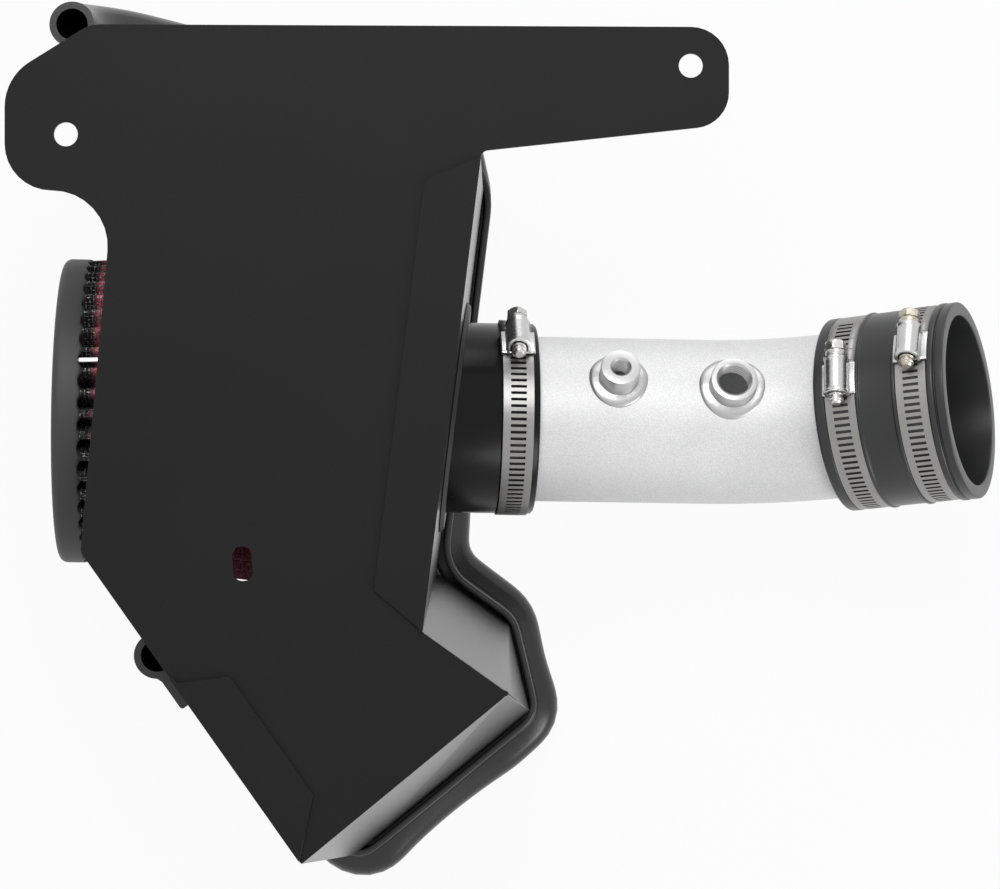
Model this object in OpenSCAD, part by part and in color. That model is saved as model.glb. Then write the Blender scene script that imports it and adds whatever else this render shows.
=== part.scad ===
// Cold air intake kit: heat shield, hood seal, cone filter, tube, coupler and clamps.
// It lies on its hood seal with the base panel of the shield on top.
// X runs along the tube toward the throttle, Y across it, Z up from the surface it lies on.

/* [Heat shield] */
// Thickness of the shield's sheet
sheet_t = 1.5; // [1:0.1:2.5]
// Depth of the shield from the panel's outer face to the walls' rims
shield_depth = 170.2; // [160:0.5:190]
// Outward reach of the upper wrap wall at its rim
flare_upper = 16; // [10:0.5:20]
// Outward reach of the lower wrap wall at its rim
flare_lower = 24.5; // [18:0.5:30]
// Bolt hole in each ear
ear_hole_d = 9.5; // [6:0.5:12]
// Width of the locating slot
slot_w = 7.7; // [5:0.1:10]
// Length of the locating slot
slot_l = 13.7; // [12:0.1:20]
// Width of the tab on the tube side
side_tab_w = 21; // [12:0.5:26]
// Width of the tab on the lower left
lower_tab_w = 20; // [12:0.5:24]

/* [Hood seal] */
// Outer diameter of the bulb
bulb_d = 18.5; // [14:0.5:20]
// Wall of the bulb
bulb_wall = 2.8; // [2:0.1:4]
// Rubber between the bulb and the slot
seal_web = 1; // [0.8:0.1:2]
// Outer width of the gripping channel
channel_w = 10.4; // [9:0.2:12]
// Depth of the channel over the sheet
channel_h = 12.7; // [9:0.1:14]
// Width of the slot that takes the sheet
grip_slot = 3.3; // [3.1:0.1:4.2]
// Clearance between the sheet's edge and the slot's bottom
grip_clear = 0.3; // [0.2:0.05:0.6]

/* [Filter] */
// Rim of the end cap outside the pleats
cap_rim = 2.5; // [0.5:0.25:5]
// Thickness of the end cap
cap_t = 10.2; // [8:0.1:16]
// Length from the end cap's face to the end of the neck
filter_l = 198.2; // [185:0.1:205]
// Diameter over the pleats at the cap
media_d_cap = 122.5; // [112:0.5:123.5]
// Diameter over the pleats at the base
media_d_base = 155; // [142:0.5:156]
// Number of pleats
pleats = 44; // [30:1:50]
// Depth of a pleat
pleat_depth = 15; // [10:0.5:18]
// Thickness of the folded layers, measured along the radius
media_t = 6; // [4:0.5:7]
// Rim of the base outside the pleats
base_rim = 2.5; // [1.5:0.5:3.5]
// Thickness of the base
base_t = 18; // [14:0.5:22]
// How deep the pleats sit in the base
media_seat = 9; // [5:0.5:11]
// Outer diameter of the neck
neck_d = 80.8; // [78:0.2:84]
// Length of the neck
neck_l = 50; // [46:0.5:56]
// Width of the seam clip
seam_clip_w = 2.2; // [1.6:0.1:5]

/* [Tube] */
// Outer diameter of the tube
tube_d = 70; // [66:0.5:72]
// Wall of the tube
tube_wall = 2; // [1.5:0.1:3]
// How far the tube goes into the neck
tube_in_neck = 30; // [24:0.5:36]
// From the end of the neck to the corner of the bend
run_to_bend = 103.5; // [100:0.5:120]
// Radius of the bend at the tube's axis
bend_r = 126; // [110:1:140]
// Angle of the bend
bend_angle = 28.1; // [20:0.1:32]
// From the corner of the bend to the tube's end
tube_after_bend = 59.3; // [56:0.1:64]

/* [Threaded bungs] */
// Small bung: outer diameter
small_bung_d = 16.5; // [14:0.5:20]
// Small bung: bore
small_bung_bore = 8.4; // [6:0.1:11]
// Small bung: height over the tube
small_bung_h = 10; // [7:0.5:14]
// Small bung: distance from the end of the neck
small_bung_at = 33; // [24:0.5:40]
// Large bung: outer diameter
large_bung_d = 19.5; // [17:0.5:23]
// Large bung: bore
large_bung_bore = 14.6; // [10:0.1:16]
// Large bung: height over the tube
large_bung_h = 7.5; // [5:0.5:12]
// Large bung: distance before the corner of the bend
large_bung_before = 23; // [22.5:0.5:30]
// Reach of the weld pad round each bung
weld_reach = 4.7; // [3:0.1:6]
// Thickness of the weld pad
weld_t = 1.3; // [0.8:0.1:2]

/* [Throttle coupler] */
// From the corner of the bend to the coupler's start
coupler_from = 30.6; // [28:0.1:34]
// Plain rubber before the first band seat
coupler_margin = 5; // [3:0.5:7]
// Wall of the coupler under the bands
coupler_wall = 5; // [4:0.1:6]
// Height of the ribs that keep the bands in place
coupler_rib_h = 1.3; // [0.8:0.1:2]
// Width of a rib
coupler_rib_w = 1.5; // [1:0.1:2]
// Width between the inner ribs
coupler_middle = 14.3; // [12:0.1:18]
// Width of the end lip
coupler_lip_w = 5; // [4:0.5:8]
// Bore for the throttle body
throttle_bore = 71.2; // [71:0.1:73]

/* [Worm-drive clamps] */
// Width of a band
band_w = 12.7; // [11:0.1:14]
// Thickness of a band
band_t = 0.65; // [0.5:0.05:0.8]
// Length of a slot in the band
band_slot_l = 6.5; // [5:0.1:8]
// Width of a slot in the band
band_slot_w = 1.2; // [0.8:0.1:1.4]
// Distance from one slot to the next
band_pitch = 2.7; // [2.4:0.1:3.2]
// Number of slots cut beside each housing
band_slots = 44; // [20:1:50]
// Length of a housing along its screw
housing_l = 13.5; // [11:0.5:16]
// Width of a housing over its dome
dome_w = 9; // [8.4:0.1:10.4]
// Diameter of a clamp screw
screw_d = 6.2; // [5.4:0.1:6.6]
// Hex head of a clamp screw, across its flats
hex_af = 8; // [7:0.5:8.4]
// Height of the hex head
hex_h = 4.6; // [3.5:0.1:6]
// Distance of the neck's clamp from the end of the neck
neck_clamp_back = 9; // [8:0.5:14]

/* [Hidden] */
$fn = 96;
eps = 0.01;

// Running fit between a rubber piece and what it grips
rubber_fit = 0.05;
// Gap between the edge trim and the neck
trim_gap = 0.3;
trim_root = 9.4;

// Heights: the bulb touches the surface, the walls' rims stand in the slot above it
edge_to_bulb = grip_clear + seal_web + bulb_d / 2;
rim_z = edge_to_bulb + bulb_d / 2;
panel_z = rim_z + shield_depth;
under_z = panel_z - sheet_t;

// Where the drawing's zero lies from the middle of the part's box
middle = [-8.2, 6.9, 0];

// Corners of the panel seen from outside, clockwise from the top left: x, y, radius
upper_right = [-7.2, 116];
side_foot = [-30.6, -74.2];
wrap_corner = [3.5, -98.5];
wrap_end = [-78.6, -166];
panel_corners = [
    [-161.9, 166.1, 14],
    [90.5, 165, 15.1],
    [90.5, 126.5, 14],
    [upper_right.x, upper_right.y, 3],
    [side_foot.x, side_foot.y, 1.5],
    [wrap_corner.x, wrap_corner.y, 2.5],
    [wrap_end.x, wrap_end.y, 1.2],
    [-165.8, -42.5, 5],
    [-153, 100.5, 22],
    [-195.8, 100.4, 18.4],
    [-195.8, 145.1, 21]
];
left_ear_hole = [-171.6, 122.6];
right_ear_hole = [75.4, 149.7];
slot_at = [-101.8, -47.1];
slot_turn = 4;
slot_r = 3.4;

function unit(v) = v / norm(v);
function flat(v, z) = [v.x, v.y, z];

// Point k (0 to 1) on the arc that rounds corner c between a and b, d from the corner
function arc_point(a, c, b, d, k) =
    let (ua = unit(a - c), ub = unit(b - c), turn = 180 - acos(ua * ub))
    let (o = c + unit(ua + ub) * d / sin(turn / 2))
    let (s = c + ua * d - o, e = c + ub * d - o)
    o + (s * sin((1 - k) * turn) + e * sin(k * turn)) / sin(turn);

// Rounded outline from corners with radii
function rounded(corners, steps = 8) = [
    for (i = [0 : len(corners) - 1])
        let (n = len(corners), p = corners[(i + n - 1) % n], c = corners[i], q = corners[(i + 1) % n])
        let (a = [p.x, p.y], m = [c.x, c.y], b = [q.x, q.y])
        let (turn = 180 - acos(unit(a - m) * unit(b - m)))
        for (k = [0 : steps]) arc_point(a, m, b, c[2] * tan(turn / 2), k / steps)
];

// Ways along the walls, counter-clockwise seen from above, with the outside on the right
left_corner = [panel_corners[7].x, panel_corners[7].y];
left_dir = unit(wrap_end - left_corner);
low_dir = unit(wrap_corner - wrap_end);
wrap_dir = unit(side_foot - wrap_corner);
side_dir = unit(upper_right - side_foot);

function right_of(v) = [v.y, -v.x];
function meet(p, u, q, v) = p + u * cross(q - p, v) / cross(u, v);

// Plan of the rims: the flared walls reach out, and the facet joins them at the corner
facet_upper = 10.7;
facet_lower = 6.4;
upper_rim = wrap_corner + right_of(wrap_dir) * flare_upper;
lower_rim = wrap_corner + right_of(low_dir) * flare_lower;
rim_upper = upper_rim + wrap_dir * facet_upper;
rim_lower = lower_rim - low_dir * facet_lower;
rim_foot = meet(upper_rim, wrap_dir, side_foot, side_dir);
rim_end = meet(lower_rim, low_dir, wrap_end, left_dir);

// Lengths of the straight walls along their panel edges
left_l = 89.8;
side_l = norm(upper_right - side_foot) - 3;
left_start = wrap_end - left_dir * left_l;
side_end = side_foot + side_dir * side_l;
weld_gap = 0.1;

// Plan of the top wall, under the panel, and the run of its rim
top_corner = [-28, 157];
top_end = [-163.8, 164.9];
top_dir = unit(top_end - top_corner);
top_l = norm(top_end - top_corner);
rise_from = [30, rim_z];
rise_to = [89.6, rim_z + 56.4];
rise_top = [top_l, rim_z + 120.2];
rise_from_r = 50;
rise_to_r = 94;
rise_top_r = 42;
low_corner_r = 18;

// Seal: corner radii of its route round the walls
turn_end_r = 9;
turn_lower_r = 8;
turn_upper_r = 10.7;
turn_foot_r = 23;
turn_side_r = 25;
turn_top_r = 12;

// Pipe: the end of the neck, then the fall and the turn of the axis, and the roll of the bend
neck_end = [14, 10.9, rim_z + 82.2];
pipe_fall = 3.85;
pipe_turn = -0.97;
bend_roll = 15.3;
pipe_dir = [cos(pipe_fall) * cos(pipe_turn), cos(pipe_fall) * sin(pipe_turn), -sin(pipe_fall)];

tube_r = tube_d / 2;
neck_r = neck_d / 2;
cap_d = media_d_cap + 2 * cap_rim;
base_d = media_d_base + 2 * base_rim;
trim_web = 2.2;
trim_tilt = 1.2;
trim_lip = 5;
trim_side = 2;
hole_r = neck_r + trim_gap + trim_tilt + trim_web;

// Angles of the clamp housings and bungs round the pipe, from the top toward the far side
neck_clamp_a = 49;
tube_clamp_a = 4.7;
throttle_clamp_a = 19.7;
small_bung_a = 29;
large_bung_a = 24.5;
seam_a = 18.2;

// Coupler: the band seats and ribs along its axis, from the corner of the bend
seat_play = 0.05;
seat_w = band_w + 2 * seat_play;
tube_seat_at = coupler_from + coupler_margin;
throttle_seat_at = tube_seat_at + seat_w + 2 * coupler_rib_w + coupler_middle;
coupler_to = throttle_seat_at + seat_w + coupler_rib_w + 1 + coupler_lip_w;
seat_r = tube_r + rubber_fit + coupler_wall;
rib_r = seat_r + coupler_rib_h;

module in_frame() translate(middle) children();

module pipe_frame() translate(neck_end) rotate([0, 0, pipe_turn]) rotate([0, pipe_fall, 0]) children();

module bend_frame() pipe_frame() translate([run_to_bend, 0, 0]) rotate([-bend_roll, 0, 0])
    rotate([0, -bend_angle, 0]) children();

// Round pieces are drawn along Z and laid along X
module lay(x) translate([x, 0, 0]) rotate([0, 90, 0]) children();

// Upright sheet from its outer face's outline: along the wall and up
module upright(from, dir) translate([from.x, from.y, 0]) rotate([0, 0, atan2(dir.y, dir.x)])
    translate([0, sheet_t, 0]) rotate([90, 0, 0]) linear_extrude(sheet_t) children();

// Folded tab lying on the panel: along the wall and inward
module tab(from, dir) translate([from.x, from.y, panel_z]) rotate([0, 0, atan2(dir.y, dir.x)])
    linear_extrude(sheet_t) children();

// Flat sheet between outer corners, counter-clockwise seen from outside
module sheet(p) {
    n = len(p);
    inward = unit(cross(p[1] - p[0], p[2] - p[0])) * -sheet_t;
    polyhedron(concat(p, [for (q = p) q + inward]),
        concat([[for (i = [n - 1 : -1 : 0]) i]], [[for (i = [0 : n - 1]) n + i]],
            [for (i = [0 : n - 1]) [i, (i + 1) % n, (i + 1) % n + n, i + n]]));
}

// Relief cut at a corner of the rims, where the seal turns
module relief(at, r) translate([at.x, at.y, 0]) cylinder(r = r, h = rim_z + channel_h + 0.5, $fn = 48);

module panel_outline() polygon(rounded(panel_corners));

module slot_outline() {
    w = slot_w / 2;
    l = slot_l / 2;
    polygon(rounded([[-w, -l, slot_r], [w, -l, slot_r], [w, l, slot_r], [-w, l, slot_r]], 6));
}

module shield_base() color("#2e2e30") translate([0, 0, under_z]) linear_extrude(sheet_t) difference() {
    panel_outline();
    translate(left_ear_hole) circle(d = ear_hole_d);
    translate(right_ear_hole) circle(d = ear_hole_d);
    translate(slot_at) rotate(slot_turn) slot_outline();
    translate(side_foot) rotate(atan2(side_dir.y, side_dir.x)) translate([0, -1])
        square([side_l, sheet_t + 1]);
    translate(left_start) rotate(atan2(left_dir.y, left_dir.x)) translate([0, -1])
        square([left_l - sheet_t, sheet_t + 1]);
}

module tube_side_wall() color("#2e2e30") {
    foot_s = (rim_foot - side_foot) * side_dir;
    tab_corners = [[0.6, 0.2, 0.2], [side_l, 0, 0.2], [187, 4, 1], [177.5, side_tab_w, 5],
        [0.6 + side_tab_w * 0.64, side_tab_w, 0.6]];
    difference() {
        union() {
            upright(side_foot, side_dir)
                polygon([[0, panel_z + sheet_t], [0, under_z], [foot_s, rim_z], [side_l, rim_z],
                    [side_l, panel_z + sheet_t]]);
            tab(side_foot, side_dir) polygon(rounded(tab_corners, 4));
        }
        hole_frame() cylinder(r = hole_r, h = 20, center = true);
        relief(rim_foot, 14);
    }
}

// Frame of the neck's hole: where the pipe's axis meets the middle of the wall, Z outward
hole_out = flat(right_of(side_dir), 0);
hole_run = (flat(side_foot, 0) - flat(neck_end, 0)) * hole_out / (pipe_dir * hole_out);
hole_at = neck_end + pipe_dir * hole_run - hole_out * sheet_t / 2;
module hole_frame() translate(hole_at) rotate([0, 0, atan2(hole_out.y, hole_out.x)])
    rotate([0, 90, 0]) children();

module wrap_wall() color("#2e2e30") difference() {
    union() {
        sheet([flat(rim_upper, rim_z), flat(rim_foot, rim_z), flat(side_foot, under_z),
            flat(wrap_corner, under_z)]);
        sheet([flat(rim_lower, rim_z), flat(rim_upper, rim_z), flat(wrap_corner, under_z)]);
        sheet([flat(rim_end, rim_z), flat(rim_lower, rim_z), flat(wrap_corner, under_z),
            flat(wrap_end, under_z)]);
    }
    relief(rim_foot, 14);
    relief(rim_lower, 6);
    relief(rim_end, 11);
}

module lower_left_wall() color("#2e2e30") {
    end_s = left_l - sheet_t - 2 * weld_gap;
    rim_s = (rim_end - left_start) * left_dir - sheet_t - 2 * weld_gap;
    tab_corners = [[2, 0.2, 0.2], [5.5, 6, 3], [12.5, lower_tab_w, 3],
        [end_s - lower_tab_w * 0.9, lower_tab_w, 0.6], [end_s, 0.4, 0.2]];
    difference() {
        union() {
            upright(left_start, left_dir)
                polygon(rounded([[0, panel_z + sheet_t, 0.2], [0, rim_z, low_corner_r],
                    [rim_s, rim_z, 0.2], [end_s, under_z, 0.2], [end_s, panel_z + sheet_t, 0.2]], 6));
            tab(left_start, left_dir) polygon(rounded(tab_corners, 4));
        }
        relief(rim_end, 11);
    }
}

module top_wall() color("#2e2e30") difference() {
    facet_dir = unit(top_corner - side_end);
    facet_l = norm(top_corner - side_end);
    union() {
        upright(side_end, facet_dir) translate([sheet_t / 2 + weld_gap, rim_z])
            square([facet_l - sheet_t / 2 - weld_gap, under_z - rim_z]);
        upright(top_corner, top_dir) polygon(rounded([[0, under_z, 0.2], [0, rim_z, 0.2],
            [rise_from.x, rise_from.y, rise_from_r], [rise_to.x, rise_to.y, rise_to_r],
            [rise_top.x, rise_top.y, rise_top_r], [top_l, under_z, 0.2]], 6));
    }
    relief(top_corner, 9);
}

// A station of the seal: a point on the sheet's edge, the way into the sheet, the bulb's lean
function turn_stations(a, c, b, r, into_a, into_b, lean_a, lean_b, steps) =
    let (turn = 180 - acos(unit(a - c) * unit(b - c)), d = r * tan(turn / 2))
    [for (i = [0 : steps])
        let (k = i / steps)
        [arc_point(a, c, b, d, k), unit(into_a * (1 - k) + into_b * k), lean_a + (lean_b - lean_a) * k]];

up = [0, 0, 1];
left_in = flat(left_dir, 0);
up_low = unit(flat(-right_of(low_dir) * flare_lower, under_z - rim_z));
up_wrap = unit(flat(-right_of(wrap_dir) * flare_upper, under_z - rim_z));
up_facet = unit(up_low + up_wrap);
rise_in = unit([(rise_to.y - rise_from.y) * -top_dir.x, (rise_to.y - rise_from.y) * -top_dir.y,
    rise_to.x - rise_from.x]);
steep_in = unit([(rise_top.y - rise_to.y) * -top_dir.x, (rise_top.y - rise_to.y) * -top_dir.y,
    rise_top.x - rise_to.x]);

function on_top(p) = flat(top_corner + top_dir * p.x, p.y);

left_top = flat(left_start, panel_z - 8);
left_low = flat(left_start, rim_z);
end_low = flat(rim_end, rim_z);
lower_low = flat(rim_lower, rim_z);
upper_low = flat(rim_upper, rim_z);
foot_low = flat(rim_foot, rim_z);
side_low = flat(side_end, rim_z);
top_low = flat(top_corner, rim_z);
seal_end = on_top([top_l, rise_top.y + 17]);

seal_stations = concat(
    [[left_top, left_in, 0]],
    turn_stations(left_top, left_low, end_low, low_corner_r, left_in, up, 0, 2.5, 5),
    turn_stations(left_low, end_low, lower_low, turn_end_r, up, up_low, 8, 4, 6),
    [[(end_low + lower_low) / 2, up_low, 2]],
    turn_stations(end_low, lower_low, upper_low, turn_lower_r, up_low, up_facet, 6.5, 1.5, 5),
    turn_stations(lower_low, upper_low, foot_low, turn_upper_r, up_facet, up_wrap, 2.6, 3, 3),
    turn_stations(upper_low, foot_low, side_low, turn_foot_r, up_wrap, up, 3.5, 4, 6),
    [[foot_low + flat(side_dir, 0) * 110, up, -6.5]],
    turn_stations(foot_low, side_low, top_low, turn_side_r, up, up, -8, -2, 4),
    turn_stations(side_low, top_low, on_top(rise_from), turn_top_r, up, up, 3, 5, 5),
    turn_stations(top_low, on_top(rise_from), on_top(rise_to), rise_from_r, up, rise_in, 5, 5.5, 5),
    turn_stations(on_top(rise_from), on_top(rise_to), on_top(rise_top), rise_to_r, rise_in, steep_in,
        7, 8.5, 3),
    turn_stations(on_top(rise_to), on_top(rise_top), seal_end, rise_top_r, steep_in, flat(-top_dir, 0),
        9.5, 6, 4),
    [[seal_end, flat(-top_dir, 0), 4]]
);

// Section of the seal: the bulb and the channel outside, then the bulb's hollow; the lean moves the bulb
bulb_steps = 16;
bulb_open = 35;
bulb_r = bulb_d / 2;
function bulb_points(r, lean) = [for (k = [0 : bulb_steps])
    let (a = bulb_open + k * (360 - 2 * bulb_open) / bulb_steps)
    [lean + r * sin(a), r * cos(a) - edge_to_bulb]];
function seal_section(lean) =
    let (w = channel_w / 2, s = grip_slot / 2, m = -sheet_t / 2, foot = -grip_clear - seal_web / 2)
    concat(bulb_points(bulb_r, lean),
        [[m - w, foot], [m - w, channel_h - 1], [m - w + 1, channel_h], [m - s - 0.6, channel_h],
            [m - s, -grip_clear], [m + s, -grip_clear], [m + s + 0.6, channel_h],
            [m + w - 1, channel_h], [m + w, channel_h - 1], [m + w, foot]],
        bulb_points(bulb_r - bulb_wall, lean), [[lean, bulb_r - bulb_wall - edge_to_bulb]]);
outer_n = bulb_steps + 11;
inner_n = bulb_steps + 2;

// Triangles of the seal's cut end, seen against the way it runs
seal_cap = let (top = outer_n + inner_n - 1, last = bulb_steps, in = outer_n)
    concat([for (k = [0 : last - 1]) [k, k + 1, in + k + 1, in + k]],
        [[last + 1, last + 2, last + 3, last + 4, last + 5],
            [last + 6, last + 7, last + 8, last + 9, last + 10],
            [in + last, last, top], [last, last + 1, top], [last + 1, last + 5, top],
            [last + 5, last + 6, top], [last + 6, last + 10, top], [last + 10, 0, top],
            [0, in, top]]);

function flip(face) = [for (i = [len(face) - 1 : -1 : 0]) face[i]];

// Skin over rings of points; each ring is an outer loop and an inner loop
module skin(rings, outer, inner, cap) {
    step = outer + inner;
    last = len(rings) - 1;
    sides = [for (i = [0 : last - 1]) for (k = [0 : outer - 1])
        let (a = i * step + k, b = i * step + (k + 1) % outer)
        each [[a, a + step, b + step], [a, b + step, b]]];
    bore = [for (i = [0 : last - 1]) for (k = [0 : inner - 1])
        let (a = i * step + outer + k, b = i * step + outer + (k + 1) % inner)
        each [[a, b + step, a + step], [a, b, b + step]]];
    ends = concat(cap, [for (f = cap) flip([for (v = f) v + last * step])]);
    polyhedron([for (ring = rings) each ring], concat(sides, bore, ends));
}

function ring_at(i) =
    let (n = len(seal_stations), s = seal_stations[i])
    let (before = seal_stations[max(i - 1, 0)][0], after = seal_stations[min(i + 1, n - 1)][0])
    let (t = unit(unit(after - s[0] + (s[0] - before) * eps) + unit(s[0] - before + (after - s[0]) * eps)))
    let (v = unit(s[1] - t * (s[1] * t)), u = cross(t, v))
    [for (p = seal_section(s[2])) s[0] + u * p.x + v * p.y];

module hood_seal() color("#39393b")
    skin([for (i = [0 : len(seal_stations) - 1]) ring_at(i)], outer_n, inner_n, seal_cap);

module neck_hole_trim() color("#1c1c1d") {
    half = sheet_t / 2 + trim_side;
    difference() {
        hole_frame() rotate_extrude() difference() {
            polygon([[neck_r - 2, -half], [hole_r + trim_lip - 1.5, -half], [hole_r + trim_lip, 1.5 - half],
                [hole_r + trim_lip, half - 1.5], [hole_r + trim_lip - 1.5, half], [neck_r - 2, half]]);
            translate([hole_r - rubber_fit, -sheet_t / 2 - rubber_fit])
                square([trim_lip + 2, sheet_t + 2 * rubber_fit]);
        }
        pipe_frame() lay(-60) cylinder(r = neck_r + trim_gap, h = 60);
        pipe_frame() lay(-60) cylinder(r = neck_r + 3 * trim_gap, h = 60 - neck_l + trim_root);
    }
}

module filter_end_cap() color("#505052") pipe_frame() lay(-filter_l) rotate_extrude() {
    polygon(rounded([[0, 0, eps], [cap_d / 2, 0, 3.2], [cap_d / 2, cap_t, 1], [0, cap_t, eps]]));
}

media_from = cap_t - filter_l;
media_to = media_seat - base_t - neck_l;

// Pleat line round the axis: rounded ridges and narrow valleys
pleat_line = [[-0.22, 0.1], [-0.1, 0], [0.1, 0], [0.22, 0.1], [0.42, 1], [0.58, 1]];
function pleat_ring(x, r) = [for (i = [0 : pleats - 1]) for (p = pleat_line)
    let (a = -(i + p[0]) * 360 / pleats - seam_a, q = r - p[1] * pleat_depth)
    [x, q * -sin(a), q * cos(a)]];
media_n = pleats * len(pleat_line);

module filter_media() color("#a02c38") pipe_frame()
    skin([concat(pleat_ring(media_from, media_d_cap / 2), pleat_ring(media_from, media_d_cap / 2 - media_t)),
        concat(pleat_ring(media_to, media_d_base / 2), pleat_ring(media_to, media_d_base / 2 - media_t))],
        media_n, media_n, [for (k = [0 : media_n - 1]) let (j = (k + 1) % media_n)
            [k, j, media_n + j, media_n + k]]);

module filter_seam_clip() color("#b5b6b8") {
    rise = (media_d_base - media_d_cap) / 2;
    run = media_to - media_from;
    clip_l = run - media_seat - 2;
    pipe_frame() rotate([-seam_a, 0, 0]) translate([media_from, 0, media_d_cap / 2])
        rotate([0, -atan(rise / run), 0]) translate([1, -seam_clip_w / 2, 0.03])
            cube([clip_l, seam_clip_w, 0.9]);
}

module filter_base() color("#1d1d1e") {
    r = base_d / 2;
    bore = tube_r + rubber_fit;
    pocket_out = media_d_base / 2 + rubber_fit;
    pocket_in = media_d_base / 2 - pleat_depth - media_t - rubber_fit;
    end = base_t + neck_l;
    pipe_frame() lay(-end) rotate_extrude()
        polygon([[pocket_in - 6, 0], [pocket_in, 0], [pocket_in, media_seat], [pocket_out, media_seat],
            [pocket_out, 0], [r - 1.5, 0], [r, 1.5], [r, base_t - 7], [r - 1.2, base_t - 3.5],
            [r - 4, base_t - 1.2], [r - 8, base_t], [neck_r + 9, base_t + 0.8], [neck_r + 4, base_t + 2.4],
            [neck_r + 1.2, base_t + 5.2], [neck_r, base_t + 9], [neck_r, end - 1], [neck_r - 1, end],
            [bore, end], [bore, media_seat + 5]]);
}

bend_run = bend_r * tan(bend_angle / 2);
seam_w = 2;
seam_over = 0.02;

module hollow(r_in, r_out, h) difference() {
    cylinder(r = r_out, h = h);
    translate([0, 0, -1]) cylinder(r = r_in, h = h + 2);
}

// Tube with a fine seam ring where each straight run meets the bend
module intake_tube() color("#c9cacc") difference() {
    tube_in = tube_r - tube_wall;
    union() {
        pipe_frame() lay(-tube_in_neck) hollow(tube_in, tube_r, tube_in_neck + run_to_bend - bend_run);
        pipe_frame() translate([run_to_bend - bend_run, 0, 0]) rotate([-bend_roll, 0, 0])
            translate([0, 0, bend_r]) rotate([90, 0, 0]) rotate([0, 0, -90])
                rotate_extrude(angle = bend_angle) translate([bend_r, 0]) difference() {
                    circle(r = tube_r);
                    circle(r = tube_in);
                }
        bend_frame() lay(bend_run) hollow(tube_in, tube_r, tube_after_bend - bend_run);
        pipe_frame() lay(run_to_bend - bend_run - seam_w / 2)
            hollow(tube_in - seam_over, tube_r + seam_over, seam_w);
        bend_frame() lay(bend_run - seam_w / 2) hollow(tube_in - seam_over, tube_r + seam_over, seam_w);
    }
    bung_frame(small_bung_at, small_bung_a) cylinder(d = small_bung_bore, h = tube_r + 5);
    bung_frame(large_at, large_bung_a) cylinder(d = large_bung_bore, h = tube_r + 5);
}

large_at = run_to_bend - large_bung_before;
module bung_frame(at, a) pipe_frame() translate([at, 0, 0]) rotate([-a, 0, 0]) children();

// Solid bar as long and as bent as the tube's bend
module bend_bar(r) translate([run_to_bend - bend_run, 0, 0]) rotate([-bend_roll, 0, 0])
    translate([0, 0, bend_r]) rotate([90, 0, 0]) rotate([0, 0, -90])
        rotate_extrude(angle = bend_angle) translate([bend_r, 0]) circle(r = r);

// Bung welded on the tube: a turned boss and the weld pad round its foot
module bung(at, a, d, bore, h) bung_frame(at, a) difference() {
    union() {
        cylinder(d = d, h = tube_r + h);
        intersection() {
            cylinder(d = d + 2 * weld_reach, h = tube_r + h);
            lay(-d) cylinder(r = tube_r + weld_t, h = 2 * d);
        }
    }
    lay(-2 * d) cylinder(r = tube_r, h = 4 * d);
    if (at + d / 2 + weld_reach > run_to_bend - bend_run)
        rotate([a, 0, 0]) translate([-at, 0, 0]) bend_bar(tube_r + rubber_fit);
    translate([0, 0, tube_r + h - 1]) cylinder(d1 = bore, d2 = bore + 2.4, h = 1.2);
    cylinder(d = bore, h = tube_r + h + 1);
}

module small_bung() color("#d6d6d4") bung(small_bung_at, small_bung_a, small_bung_d, small_bung_bore, small_bung_h);

module large_bung() color("#d6d6d4") bung(large_at, large_bung_a, large_bung_d, large_bung_bore, large_bung_h);

module throttle_coupler() color("#37393c") {
    bore = tube_r + rubber_fit;
    wide = throttle_bore / 2;
    step = tube_after_bend + 0.5 - coupler_from;
    seat1 = tube_seat_at - coupler_from;
    seat2 = throttle_seat_at - coupler_from;
    end = coupler_to - coupler_from;
    soft = 0.8;
    bend_frame() lay(coupler_from) rotate_extrude()
        polygon([[bore, 0], [seat_r, 0], [rib_r - 0.5, soft], [rib_r - 0.5, seat1 - soft], [seat_r, seat1],
            [seat_r, seat1 + seat_w], [rib_r, seat1 + seat_w + 0.3],
            [rib_r, seat1 + seat_w + coupler_rib_w - 0.3], [rib_r - 0.6, seat1 + seat_w + coupler_rib_w],
            [rib_r - 0.6, seat2 - coupler_rib_w], [rib_r, seat2 - coupler_rib_w + 0.3],
            [rib_r, seat2 - 0.3], [seat_r, seat2],
            [seat_r, seat2 + seat_w], [rib_r, seat2 + seat_w + 0.3],
            [rib_r, seat2 + seat_w + coupler_rib_w - 0.2], [seat_r, seat2 + seat_w + coupler_rib_w],
            [seat_r, end - coupler_lip_w], [rib_r - 0.2, end - coupler_lip_w + 0.6],
            [rib_r - 0.2, end - 1], [rib_r - 1.2, end], [wide, end], [wide, step], [bore, step]]);
}

// Clamp parts stand round the X axis with the housing on top and the screw's head toward +Y
under_housing = 2;
screw_lift = 0.25;
collar_l = 1.6;
function band_out(r) = r + rubber_fit + band_t;
function screw_axis(r) = band_out(r) + band_t + screw_lift + screw_d / 2;

module clamp_band(r) color("#c4c5c7") difference() {
    inner = r + rubber_fit;
    tail_a = 44;
    tail_w = band_w - 0.2;
    union() {
        lay(-band_w / 2) difference() {
            cylinder(r = inner + band_t, h = band_w);
            translate([0, 0, -1]) cylinder(r = inner, h = band_w + 2);
        }
        rotate([-tail_a, 0, 0]) lay(-tail_w / 2) rotate([0, 0, 180]) rotate_extrude(angle = tail_a)
            translate([inner + band_t / 2, 0]) square([1.5 * band_t, tail_w]);
    }
    for (i = [-11 : band_slots])
        if (abs(i) > under_housing)
            rotate([i * band_pitch / inner * 180 / PI, 0, 0]) translate([0, 0, inner + band_t])
                cube([band_slot_l, band_slot_w, 4 * band_t], center = true);
}

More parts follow.
